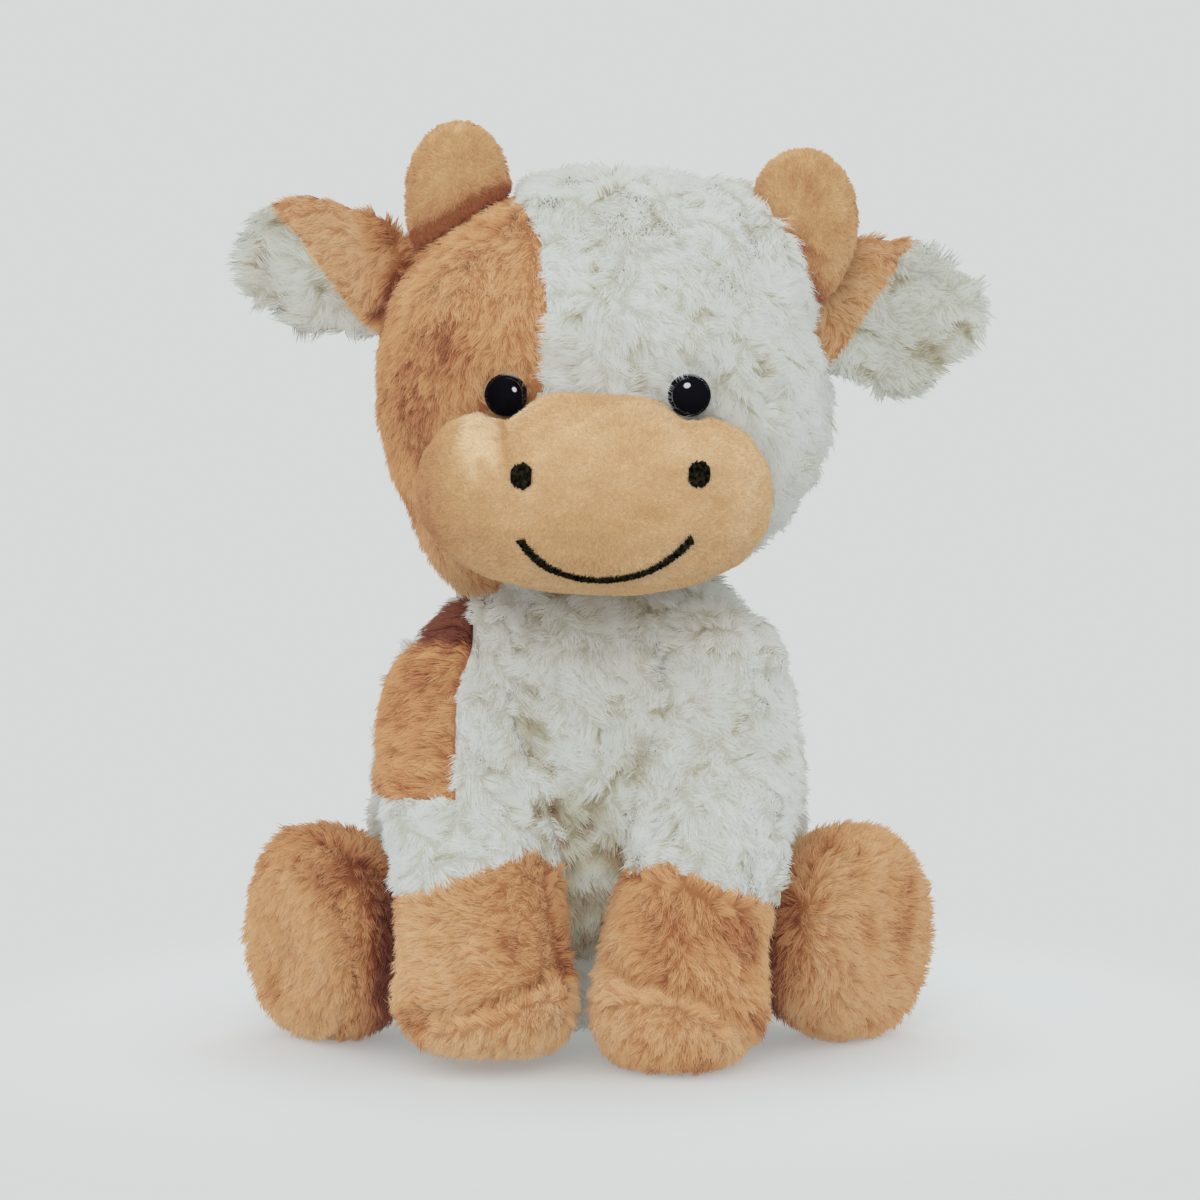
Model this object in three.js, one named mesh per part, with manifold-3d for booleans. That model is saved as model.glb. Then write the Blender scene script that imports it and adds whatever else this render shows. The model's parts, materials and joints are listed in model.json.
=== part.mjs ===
// A seated plush cow, about 27 cm tall, as sewn panels over fibre filling.
// Millimetres, +Z up, the face looks along -Y, and the cow's right side is at -X.
// Each skin is a shell, its filling is a solid inside it, and a limb's root is a ball in a pocket.
import * as THREE from "three";
import { mergeVertices } from "three/addons/utils/BufferGeometryUtils.js";
import Module from "manifold-3d";

const wasm = await Module();
wasm.setup();

// Fabric and clearances
const fabricWall = 2.4;
const seamGap = 0.3;
const jointGap = 0.4;
const floorFlat = 0.5;
const cutOverrun = 30;
const mergeTolerance = 1e-4;

// Hidden inner surfaces need less detail than the outer ones
const innerDetailShare = 0.6;
const leastSizeShare = 0.3;

// Torso: a pear that leans back on its seat
const torsoHeight = 137;
const torsoHalfWidth = 66;
const torsoHalfDepth = 54;
const torsoBack = 5;
const seatPanelHeight = 4;
const neckRadius = 22;
const neckRise = 14;
const torsoSegments = 20;
const torsoRings = 9;
const torsoPower = 2.15;
const torsoShares = [
  { height: 0, width: 0.68, depth: 0.62, back: 0.24 },
  { height: 0.06, width: 0.8, depth: 0.78, back: 0.16 },
  { height: 0.18, width: 0.91, depth: 0.92, back: 0.08 },
  { height: 0.33, width: 0.98, depth: 1, back: 0.02 },
  { height: 0.5, width: 1, depth: 1, back: 0 },
  { height: 0.66, width: 0.97, depth: 0.95, back: 0 },
  { height: 0.8, width: 0.89, depth: 0.86, back: 0.01 },
  { height: 0.91, width: 0.75, depth: 0.74, back: 0.03 },
  { height: 1, width: 0.56, depth: 0.56, back: 0.05 },
];

// Pellet bag: the weight in the seat
const bagHeight = 24;
const bagHalfWidth = 20;
const bagHalfDepth = 29;
const bagBack = 14;
const bagSegments = 14;
const bagShares = [
  { height: 0, width: 0.84, depth: 0.84, back: 0 },
  { height: 0.3, width: 1, depth: 1, back: 0 },
  { height: 0.7, width: 0.9, depth: 0.9, back: 0 },
  { height: 1, width: 0.5, depth: 0.5, back: 0 },
];

// Head: a full round form on the neck
const headHalfWidth = 69;
const headHalfDepth = 56;
const headHalfHeight = 61;
const headPower = 2.3;
const headSink = 5;
const headSide = 4.8;
const headBack = 5;
const headTurnDeg = -2;
const headSegments = 22;
const headRings = 11;
const napeSeamBack = 26;
const faceSeamSteps = 9;
const faceSeamShares = [
  { side: -0.52, rise: 1.15 },
  { side: -0.39, rise: 0.95 },
  { side: -0.254, rise: 0.72 },
  { side: -0.225, rise: 0.36 },
  { side: -0.268, rise: 0.03 },
  { side: -0.35, rise: -0.46 },
  { side: -0.435, rise: -1.15 },
];

// Muzzle: a wide oblong pad on the front of the head
const muzzleHalfWidth = 51;
const muzzleHalfDepth = 40;
const muzzleHalfHeight = 28.5;
const muzzlePower = 2.35;
const muzzleSide = -1;
const muzzleForward = 50;
const muzzleDrop = 29;
const muzzleTiltDeg = 2;
const muzzleSegments = 20;
const muzzleRings = 10;

// Embroidery on the muzzle: two nostrils and a smile
const threadRise = 0.8;
const faceSide = 5;
const nostrilSpread = 24.5;
const nostrilRise = 7;
const nostrilHalfWidth = 3;
const nostrilHalfHeight = 3.7;
const smileRadius = 30;
const smileHalfDeg = 51;
const smileWidth = 2.2;
const smileRise = 6.5;
const smileSteps = 14;
const nostrilSegments = 14;

// Eyes: moulded domes on stems, held by washers behind the fabric
const eyeRadius = 6.2;
const eyeDome = 5;
const eyeRim = 1.2;
const eyeSpread = 26.1;
const eyeDrop = 0.7;
const stemRadius = 2;
const stemLength = 11;
const washerRadius = 7;
const washerThickness = 1.4;
const eyeSegments = 14;
const domeSteps = 4;

// Horns: two short stuffed thumbs near the top of the head
const hornHalfWidth = 15.6;
const hornHalfDepth = 10;
const hornSegments = 12;
const hornRings = 8;
const hornLengths = { right: 47, left: 42 };
const hornLeanDeg = { right: 2, left: -6 };
const hornPlaceShares = {
  right: { side: -0.64, forward: 0.14, rise: 0.51 },
  left: { side: 0.9, forward: 0.2, rise: 0.46 },
};
const hornShares = [
  { height: 0, width: 0.42, depth: 0.5, back: 0 },
  { height: 0.14, width: 0.68, depth: 0.74, back: 0 },
  { height: 0.32, width: 0.92, depth: 0.95, back: 0 },
  { height: 0.55, width: 1, depth: 1, back: 0 },
  { height: 0.75, width: 0.91, depth: 0.92, back: 0 },
  { height: 0.9, width: 0.66, depth: 0.7, back: 0 },
  { height: 0.97, width: 0.4, depth: 0.44, back: 0 },
  { height: 1, width: 0.16, depth: 0.18, back: 0 },
];

// Ears: leaves of two fabrics that flap about the seam at their root
const earLength = 50;
const earHalfThickness = 5.4;
const earCurl = 7;
const earRootRadius = 6.5;
const earSegments = 14;
const earRings = 8;
const earHalfWidths = { right: 17, left: 20 };
const earCups = { right: 6, left: 4 };
const earRaiseDeg = { right: 22, left: 3 };
const earPlaceShares = {
  right: { side: 0.885, back: 0.02, rise: 0.44 },
  left: { side: 0.935, back: 0.05, rise: 0.33 },
};
const earLeadShare = 0.06;
const earRootShare = 0.7;
const earShares = [
  { height: 0, width: 0.62, depth: 0.8, back: 0 },
  { height: 0.2, width: 0.88, depth: 0.96, back: 0.05 },
  { height: 0.42, width: 1, depth: 1, back: 0.2 },
  { height: 0.64, width: 0.95, depth: 0.94, back: 0.45 },
  { height: 0.82, width: 0.75, depth: 0.82, back: 0.72 },
  { height: 0.94, width: 0.46, depth: 0.6, back: 0.9 },
  { height: 1, width: 0.18, depth: 0.3, back: 1 },
];
const earSeamShares = {
  right: { out: 0.84, rise: 0.8, slope: 0.85, tilt: 3 },
  left: { out: 0.6, rise: 0.8, slope: 1.15, tilt: 3 },
};
const earSeamForward = 6;

// Forelegs: sleeves with boot-shaped paws, each hung from a shoulder ball
const shoulderSide = 39;
const shoulderForward = 24;
const shoulderDrop = 29;
const shoulderHeight = torsoHeight - shoulderDrop;
const shoulderRadius = 22;
const forelegHalfWidth = 27;
const forelegHalfDepth = 27;
const forelegSpread = 29.5;
const forelegForward = 66;
const pawHeight = 53;
const pawSlopeShare = 0.2;
const patchBottom = 73;
const patchSeamSide = 38;
const limbSegments = 16;
const ballSegments = 14;
const forelegRings = 9;
const forelegShares = [
  { height: 0, width: 0.8, depth: 0.8, back: 0, out: 0 },
  { height: 0.05, width: 0.94, depth: 0.93, back: 0, out: 0 },
  { height: 0.135, width: 1, depth: 0.98, back: 0.02, out: 0 },
  { height: 0.25, width: 0.98, depth: 0.88, back: 0.1, out: 0 },
  { height: 0.35, width: 0.93, depth: 0.74, back: 0.2, out: 0.04 },
  { height: 0.52, width: 0.93, depth: 0.72, back: 0.33, out: 0.17 },
  { height: 0.7, width: 0.94, depth: 0.76, back: 0.54, out: 0.3 },
  { height: 0.86, width: 0.89, depth: 0.8, back: 0.82, out: 0.345 },
  { height: 1, width: 0.79, depth: 0.79, back: 1, out: 0.352 },
];

// Hind legs: short thighs with big round feet, splayed from a hip ball
const hipSide = 50;
const hipForward = 4;
const hipRadius = 27;
const footRadius = 31.5;
const hindlegLength = 44;
const hindlegStart = 0;
const splayDeg = 56;
const thighEndShare = 0.4;
const soleStartShare = 0.82;
const hindlegRings = 7;
const hindlegShares = [
  { height: 0, width: 0.68, depth: 0.68, back: 0 },
  { height: 0.28, width: 0.74, depth: 0.74, back: 0 },
  { height: 0.46, width: 0.86, depth: 0.86, back: 0 },
  { height: 0.64, width: 0.97, depth: 0.97, back: 0 },
  { height: 0.8, width: 1, depth: 1, back: 0 },
  { height: 0.9, width: 0.95, depth: 0.95, back: 0 },
  { height: 0.97, width: 0.8, depth: 0.8, back: 0 },
  { height: 1, width: 0.6, depth: 0.6, back: 0 },
];

// Tail: a thin stuffed tube with a tuft, hung from a ball in the back
const tailRadius = 5.2;
const tailBallRadius = 6.4;
const tailLength = 46;
const tailHeight = 54;
const tailSink = 0.5;
const tailLeanDeg = 22;
const tuftRadius = 9.5;
const tuftLength = 25;
const tailSegments = 10;
const tuftRings = 6;
const tuftShares = [
  { height: 0, width: 0.5, depth: 0.5, back: 0 },
  { height: 0.25, width: 0.86, depth: 0.86, back: 0 },
  { height: 0.5, width: 1, depth: 1, back: 0 },
  { height: 0.8, width: 0.76, depth: 0.76, back: 0 },
  { height: 1, width: 0.2, depth: 0.2, back: 0 },
];

const materials = {
  white_plush: new THREE.MeshStandardMaterial({ color: 0xe4e3da, roughness: 1, metalness: 0 }),
  tan_plush: new THREE.MeshStandardMaterial({ color: 0xc9935c, roughness: 1, metalness: 0 }),
  short_plush: new THREE.MeshStandardMaterial({ color: 0xd9a76f, roughness: 0.9, metalness: 0 }),
  black_thread: new THREE.MeshStandardMaterial({ color: 0x191611, roughness: 0.7, metalness: 0 }),
  black_gloss: new THREE.MeshStandardMaterial({ color: 0x08080b, roughness: 0.12, metalness: 0 }),
  clear_plastic: new THREE.MeshStandardMaterial({ color: 0xe9e9e6, roughness: 0.4, metalness: 0 }),
  fibre: new THREE.MeshStandardMaterial({ color: 0xf3f3f0, roughness: 1, metalness: 0 }),
  bag_cloth: new THREE.MeshStandardMaterial({ color: 0xd8d4c8, roughness: 0.9, metalness: 0 }),
};

const radians = THREE.MathUtils.degToRad;
const acrossX = new THREE.Vector3(1, 0, 0);
const backY = new THREE.Vector3(0, 1, 0);
const upZ = new THREE.Vector3(0, 0, 1);

// A geometry as a solid: only the positions are kept, and shared vertices are merged.
function solidOf(geometry) {
  const bare = geometry.clone();
  bare.deleteAttribute("normal");
  bare.deleteAttribute("uv");
  const merged = mergeVertices(bare, mergeTolerance);
  return new wasm.Manifold(
    new wasm.Mesh({
      numProp: 3,
      vertProperties: new Float32Array(merged.attributes.position.array),
      triVerts: new Uint32Array(merged.index.array),
    }),
  );
}

// A named mesh from a solid, moved so that the given pivot becomes its own origin.
function meshOf(name, solid, material, pivot = new THREE.Vector3()) {
  const { numProp, vertProperties, triVerts } = solid.getMesh();
  const count = vertProperties.length / numProp;
  const positions = new Float32Array(count * 3);
  for (let i = 0; i < count; i += 1) {
    positions.set(vertProperties.subarray(i * numProp, i * numProp + 3), i * 3);
  }
  const geometry = new THREE.BufferGeometry();
  geometry.setAttribute("position", new THREE.BufferAttribute(positions, 3));
  geometry.setIndex(new THREE.BufferAttribute(triVerts, 1));
  geometry.translate(-pivot.x, -pivot.y, -pivot.z);
  geometry.computeVertexNormals();
  const mesh = new THREE.Mesh(geometry, materials[material]);
  mesh.name = name;
  return mesh;
}

// How many segments or rings a form takes: an inner one, drawn in by an inset, takes fewer.
function detail(count, inset) {
  return inset > 0 ? 2 * Math.round((count * innerDetailShare) / 2) : count;
}

// A half size less an inset, but never less than a share of itself.
function shrunk(size, inset) {
  return Math.max(size - inset, size * leastSizeShare);
}

// Evenly spaced samples of a table of shares, on a smooth curve through its rows.
function smoothShares(table, count) {
  const keys = Object.keys(table[0]);
  const rowNumbers = table.map((row, i) => i);
  const values = table.flatMap((row) => keys.map((key) => row[key]));
  const curve = new THREE.CubicInterpolant(rowNumbers, values, keys.length);
  return Array.from({ length: count + 1 }, (unused, i) => {
    const found = curve.evaluate((i * (table.length - 1)) / count);
    return Object.fromEntries(keys.map((key, k) => [key, found[k]]));
  });
}

// A closed skin over rings. A ring has a centre, two unit directions, two half sizes, a power and a bow.
function loft(rings, segments) {
  const positions = [];
  const indices = [];
  for (const ring of rings) {
    for (let i = 0; i < segments; i += 1) {
      const angle = (2 * Math.PI * i) / segments;
      const [c, s] = [Math.cos(angle), Math.sin(angle)];
      const u = Math.sign(c) * Math.abs(c) ** (2 / ring.power) * ring.halfWidth;
      const v = Math.sign(s) * Math.abs(s) ** (2 / ring.power) * ring.halfDepth;
      const bow = (ring.bow ?? 0) * c * c;
      const point = ring.centre.clone().addScaledVector(ring.across, u).addScaledVector(ring.along, v - bow);
      positions.push(...point.toArray());
    }
  }
  for (let r = 0; r + 1 < rings.length; r += 1) {
    for (let i = 0; i < segments; i += 1) {
      const next = (i + 1) % segments;
      const [a, b] = [r * segments + i, r * segments + next];
      const [c, d] = [a + segments, b + segments];
      indices.push(a, b, d, a, d, c);
    }
  }
  [0, rings.length - 1].forEach((r, end) => {
    const hub = positions.length / 3;
    positions.push(...rings[r].centre.toArray());
    for (let i = 0; i < segments; i += 1) {
      const [a, b] = [r * segments + i, r * segments + ((i + 1) % segments)];
      indices.push(hub, ...(end ? [a, b] : [b, a]));
    }
  });
  const geometry = new THREE.BufferGeometry();
  geometry.setAttribute("position", new THREE.BufferAttribute(new Float32Array(positions), 3));
  geometry.setIndex(indices);
  return geometry;
}

// A loft with level rings between two heights, each ring's size and place taken from a table of shares.
function levelLoft(table, count, segments, { low, high, halfWidth, halfDepth, backShift = 0, outShift = 0,
  centreX = 0, centreY = 0, inset = 0, power = 2 }) {
  const rings = smoothShares(table, detail(count, inset)).map((row) => ({
    centre: new THREE.Vector3(
      centreX + (row.out ?? 0) * outShift,
      centreY + row.back * backShift,
      THREE.MathUtils.lerp(low, high, row.height),
    ),
    across: acrossX,
    along: backY,
    halfWidth: shrunk(row.width * halfWidth, inset),
    halfDepth: shrunk(row.depth * halfDepth, inset),
    power,
  }));
  return loft(rings, detail(segments, inset));
}

// An ellipsoid with fuller corners as its power rises, poles up and down.
function fullEllipsoid(halfWidth, halfDepth, halfHeight, power, segments, rings) {
  const geometry = new THREE.SphereGeometry(1, segments, rings).rotateX(Math.PI / 2);
  const place = geometry.attributes.position;
  const point = new THREE.Vector3();
  for (let i = 0; i < place.count; i += 1) {
    point.fromBufferAttribute(place, i);
    const sum = Math.abs(point.x) ** power + Math.abs(point.y) ** power + Math.abs(point.z) ** power;
    point.multiplyScalar(sum ** (-1 / power));
    place.setXYZ(i, point.x * halfWidth, point.y * halfDepth, point.z * halfHeight);
  }
  return geometry;
}

// A ball with its poles across X, and the pocket that it can turn in, wide enough for the ball's facets.
function ball(centre, radius) {
  const geometry = new THREE.SphereGeometry(radius, ballSegments, ballSegments / 2);
  return solidOf(geometry.rotateZ(Math.PI / 2).translate(centre.x, centre.y, centre.z));
}

function pocket(centre, radius) {
  return ball(centre, (radius + jointGap) / Math.cos(Math.PI / ballSegments) ** 2);
}

// A cylinder about a line through a point.
function rod(centre, direction, radius, length, segments) {
  const geometry = new THREE.CylinderGeometry(radius, radius, length, segments);
  const turn = new THREE.Quaternion().setFromUnitVectors(backY, direction);
  return solidOf(geometry.applyQuaternion(turn).translate(centre.x, centre.y, centre.z));
}

// A block between two corners.
function block(low, high) {
  const size = high.clone().sub(low);
  const centre = low.clone().add(high).multiplyScalar(0.5);
  return solidOf(new THREE.BoxGeometry(size.x, size.y, size.z).translate(centre.x, centre.y, centre.z));
}

// The part of a solid on the side that a plane's normal points to.
function sideOf(solid, normal, offset) {
  const unit = normal.clone().normalize();
  return solid.trimByPlane(unit.toArray(), offset);
}

// Torso, seat panel, filling and pellet bag

function torsoForm(inset) {
  const size = { low: inset, high: torsoHeight - inset, halfWidth: torsoHalfWidth, halfDepth: torsoHalfDepth };
  return solidOf(
    levelLoft(torsoShares, torsoRings, torsoSegments, {
      ...size, backShift: torsoHalfDepth, centreY: torsoBack, inset, power: torsoPower,
    }),
  );
}

const neckCentre = new THREE.Vector3(0, headBack, torsoHeight);

function neckRod(radius, rise) {
  const length = rise + torsoHeight / 2;
  return rod(neckCentre.clone().setZ(torsoHeight + rise - length / 2), upZ, radius, length, torsoSegments);
}

function pelletBag(grow) {
  const low = fabricWall + seamGap;
  const size = { low: low - 2 * grow, high: low + bagHeight + grow, halfWidth: bagHalfWidth, halfDepth: bagHalfDepth };
  return solidOf(
    levelLoft(bagShares, bagShares.length + 1, bagSegments, { ...size, centreY: bagBack, inset: -grow }),
  );
}

const sides = { right: -1, left: 1 };
const shoulderOf = (side) => new THREE.Vector3(sides[side] * shoulderSide, -shoulderForward, shoulderHeight);
const hipHeight = footRadius - floorFlat;
const hipOf = (side) => new THREE.Vector3(sides[side] * hipSide, -hipForward, hipHeight);
const tailRoot = new THREE.Vector3(0, torsoBack + torsoHalfDepth - tailSink, tailHeight);

function rootPockets() {
  const pockets = [pocket(tailRoot, tailBallRadius)];
  for (const side of Object.keys(sides)) {
    pockets.push(pocket(shoulderOf(side), shoulderRadius));
    pockets.push(pocket(hipOf(side), hipRadius));
  }
  return pockets.reduce((all, next) => all.add(next));
}

function torsoGroup() {
  const group = new THREE.Group();
  const pockets = rootPockets();
  const shell = torsoForm(0).subtract(torsoForm(fabricWall)).subtract(pockets);
  const skin = sideOf(shell, upZ, seatPanelHeight + seamGap).subtract(neckRod(neckRadius + jointGap, cutOverrun));
  const seat = sideOf(shell, upZ.clone().negate(), -seatPanelHeight);
  const filling = torsoForm(fabricWall + seamGap)
    .add(neckRod(neckRadius, neckRise))
    .subtract(pockets)
    .subtract(pelletBag(seamGap));
  group.add(meshOf("torso_skin", skin, "white_plush"));
  group.add(meshOf("seat_panel", seat, "white_plush"));
  group.add(meshOf("torso_filling", filling, "fibre"));
  group.add(meshOf("pellet_bag", pelletBag(0), "bag_cloth"));
  return group;
}

// Head, in its own frame about the centre of its form

const headCentre = new THREE.Vector3(headSide, headBack, torsoHeight + headHalfHeight - headSink);
const neckPlane = torsoHeight + seamGap - headCentre.z;

function headForm(inset) {
  const geometry = fullEllipsoid(
    headHalfWidth - inset, headHalfDepth - inset, headHalfHeight - inset, headPower,
    detail(headSegments, inset), detail(headRings, inset),
  );
  return sideOf(solidOf(geometry), upZ, neckPlane + Math.max(inset, 0));
}

function headSurfaceY(x, z) {
  const left = 1 - Math.abs(x / headHalfWidth) ** headPower - Math.abs(z / headHalfHeight) ** headPower;
  return -headHalfDepth * left ** (1 / headPower);
}

// The outward direction of the head's form at a point of its surface.
function headNormal(point) {
  const slope = (value, half) => (Math.sign(value) * Math.abs(value / half) ** (headPower - 1)) / half;
  return new THREE.Vector3(
    slope(point.x, headHalfWidth), slope(point.y, headHalfDepth), slope(point.z, headHalfHeight),
  ).normalize();
}

function eyeSeat(side) {
  const place = new THREE.Vector3(sides[side] * eyeSpread, 0, -eyeDrop);
  place.y = headSurfaceY(place.x, place.z);
  return { place, normal: headNormal(place) };
}

function latheAlong(points, segments, seat, depth) {
  const geometry = new THREE.LatheGeometry(points.map(([r, h]) => new THREE.Vector2(r, h)), segments);
  geometry.applyQuaternion(new THREE.Quaternion().setFromUnitVectors(backY, seat.normal));
  const at = seat.place.clone().addScaledVector(seat.normal, depth);
  return solidOf(geometry.translate(at.x, at.y, at.z));
}

function eyeSolid(seat) {
  const profile = [[0, -stemLength], [stemRadius, -stemLength], [stemRadius, seamGap], [eyeRadius, seamGap]];
  for (let i = 0; i <= domeSteps; i += 1) {
    const angle = (i * Math.PI) / 2 / domeSteps;
    profile.push([eyeRadius * Math.cos(angle), seamGap + eyeRim + eyeDome * Math.sin(angle)]);
  }
  profile[profile.length - 1][0] = 0;
  return latheAlong(profile, eyeSegments, seat, 0);
}

function washerSolid(seat) {
  const [bore, rim] = [stemRadius + seamGap, washerRadius];
  const profile = [[bore, 0], [rim, 0], [rim, washerThickness], [bore, washerThickness], [bore, 0]];
  return latheAlong(profile, eyeSegments, seat, -stemLength + 2 * seamGap);
}

// What an eye's stem and washer need free inside the head.
function eyePocket(seat) {
  const depth = stemLength - fabricWall;
  const inner = seat.place.clone().addScaledVector(seat.normal, -stemLength - jointGap + depth / 2);
  const stem = rod(seat.place, seat.normal, stemRadius + jointGap, 2 * stemLength + 2 * jointGap, eyeSegments);
  return stem.add(rod(inner, seat.normal, washerRadius + jointGap, depth, eyeSegments));
}

function eyeRoom(seat) {
  return rod(seat.place, seat.normal, eyeRadius + jointGap, 2 * (eyeDome + eyeRim + seamGap), eyeSegments);
}

function hornForm(side, inset) {
  const { side: sideShare, forward, rise } = hornPlaceShares[side];
  const geometry = levelLoft(hornShares, hornRings, hornSegments, {
    low: -inset, high: hornLengths[side] - inset, halfWidth: hornHalfWidth, halfDepth: hornHalfDepth, inset,
  });
  geometry.rotateY(radians(hornLeanDeg[side]));
  geometry.translate(sideShare * headHalfWidth, -forward * headHalfDepth, rise * headHalfHeight);
  return solidOf(geometry);
}

function hornMeshes(side) {
  const under = headForm(-seamGap);
  const cover = hornForm(side, 0).subtract(hornForm(side, fabricWall)).subtract(under);
  const filling = hornForm(side, fabricWall + seamGap).subtract(under);
  return [
    meshOf(`horn_${side}_cover`, cover, "short_plush"),
    meshOf(`horn_${side}_filling`, filling, "fibre"),
  ];
}

function muzzleForm(inset) {
  const geometry = fullEllipsoid(
    muzzleHalfWidth - inset, muzzleHalfDepth - inset, muzzleHalfHeight - inset, muzzlePower,
    detail(muzzleSegments, inset), detail(muzzleRings, inset),
  );
  geometry.rotateY(radians(muzzleTiltDeg)).translate(muzzleSide, -muzzleForward, -muzzleDrop);
  return solidOf(geometry);
}

// A flat outline in the XZ plane, pushed through the front of the muzzle and cut to a thin layer on it.
function threadLayer(shape) {
  const punch = new THREE.ExtrudeGeometry(shape, {
    depth: 2 * muzzleHalfDepth, bevelEnabled: false, curveSegments: nostrilSegments,
  });
  punch.rotateX(Math.PI / 2).translate(muzzleSide + faceSide, -muzzleForward, -muzzleDrop);
  const layer = muzzleForm(-seamGap - threadRise).subtract(muzzleForm(-seamGap));
  const front = sideOf(layer, backY.clone().negate(), muzzleForward);
  return front.intersect(solidOf(punch));
}

function nostrilSolid(side) {
  const shape = new THREE.Shape();
  shape.absellipse(
    sides[side] * nostrilSpread, nostrilRise, nostrilHalfWidth, nostrilHalfHeight, 0, 2 * Math.PI, false, 0,
  );
  return threadLayer(shape);
}

function smileSolid() {
  const [mid, half] = [-Math.PI / 2, radians(smileHalfDeg)];
  const centreRise = smileRadius - muzzleHalfHeight + smileRise;
  const shape = new THREE.Shape();
  const arc = (radius, from, to) => {
    for (let i = 0; i <= smileSteps; i += 1) {
      const angle = THREE.MathUtils.lerp(from, to, i / smileSteps);
      const [x, z] = [radius * Math.cos(angle), centreRise + radius * Math.sin(angle)];
      if (shape.curves.length || shape.currentPoint.lengthSq()) shape.lineTo(x, z);
      else shape.moveTo(x, z);
    }
  };
  arc(smileRadius + smileWidth / 2, mid - half, mid + half);
  arc(smileRadius - smileWidth / 2, mid + half, mid - half);
  shape.closePath();
  return threadLayer(shape);
}

// The ear's frame: its length runs outward, its width up, and it lies across the head's side.
function earFrame(side) {
  const { side: sideShare, back, rise } = earPlaceShares[side];
  const turn = radians(earRaiseDeg[side]);
  const root = new THREE.Vector3(
    sides[side] * sideShare * headHalfWidth, back * headHalfDepth, rise * headHalfHeight,
  );
  const length = new THREE.Vector3(sides[side] * Math.cos(turn), 0, Math.sin(turn));
  const width = new THREE.Vector3(-sides[side] * Math.sin(turn), 0, Math.cos(turn));
  return { root, length, width, rootLength: 2 * earRootShare * earHalfWidths[side] };
}

function earSolid(side) {
  const { root, length, width, rootLength } = earFrame(side);
  const across = width.clone().multiplyScalar(sides[side]);
  const rings = smoothShares(earShares, earRings).map((row) => ({
    centre: root
      .clone()
      .addScaledVector(length, (earLeadShare + row.height * (1 - earLeadShare)) * earLength)
      .addScaledVector(backY, -row.back * earCurl),
    across,
    along: backY,
    halfWidth: row.width * earHalfWidths[side],
    halfDepth: row.depth * earHalfThickness,
    power: 2,
    bow: row.width * earCups[side],
  }));
  rings.reverse();
  const leaf = solidOf(loft(rings, earSegments)).subtract(headForm(-jointGap));
  return leaf.add(rod(root, width, earRootRadius, rootLength, earSegments));
}

// The room of the ear's tan panel: in front of a slanting seam and clear of the root, drawn in by a gap.
function earPanelRoom(side, gap) {
  const { root, length, width } = earFrame(side);
  const seam = earSeamShares[side];
  const reach = new THREE.Vector3(1, 1, 1).multiplyScalar(2 * earLength);
  const normal = width
    .clone()
    .addScaledVector(length, -seam.slope)
    .addScaledVector(backY, -seam.tilt)
    .normalize();
  const onSeam = root
    .clone()
    .addScaledVector(length, seam.out * earLength)
    .addScaledVector(width, seam.rise * earHalfWidths[side])
    .addScaledVector(backY, -earSeamForward);
  const room = block(root.clone().sub(reach), root.clone().add(reach));
  return sideOf(
    sideOf(room, normal, normal.dot(onSeam) + gap), length, length.dot(root) + earRootRadius + gap,
  );
}

function earMeshes(side, pivot) {
  const whole = earSolid(side);
  return [
    meshOf(`ear_${side}_inner`, whole.intersect(earPanelRoom(side, seamGap)), "tan_plush", pivot),
    meshOf(`ear_${side}_outer`, whole.subtract(earPanelRoom(side, 0)), "white_plush", pivot),
  ];
}

function earSlots() {
  return Object.keys(sides)
    .map((side) => {
      const { root, width, rootLength } = earFrame(side);
      return rod(root, width, earRootRadius + jointGap, rootLength + 2 * jointGap, earSegments);
    })
    .reduce((all, slot) => all.add(slot));
}

// The room of the tan panel on the head's right: bounded by the curved face seam and the upright nape seam.
function tanPanelRoom(gap) {
  const seam = faceSeamShares.map(
    ({ side, rise }) => new THREE.Vector2(side * headHalfWidth - gap, rise * headHalfHeight),
  );
  const reach = 2 * headHalfWidth;
  const shape = new THREE.Shape(new THREE.SplineCurve(seam).getPoints(faceSeamSteps));
  shape.lineTo(-reach, seam[seam.length - 1].y);
  shape.lineTo(-reach, seam[0].y);
  const room = new THREE.ExtrudeGeometry(shape, { depth: reach, bevelEnabled: false });
  return solidOf(room.rotateX(Math.PI / 2).translate(0, napeSeamBack - gap, 0));
}

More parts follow.
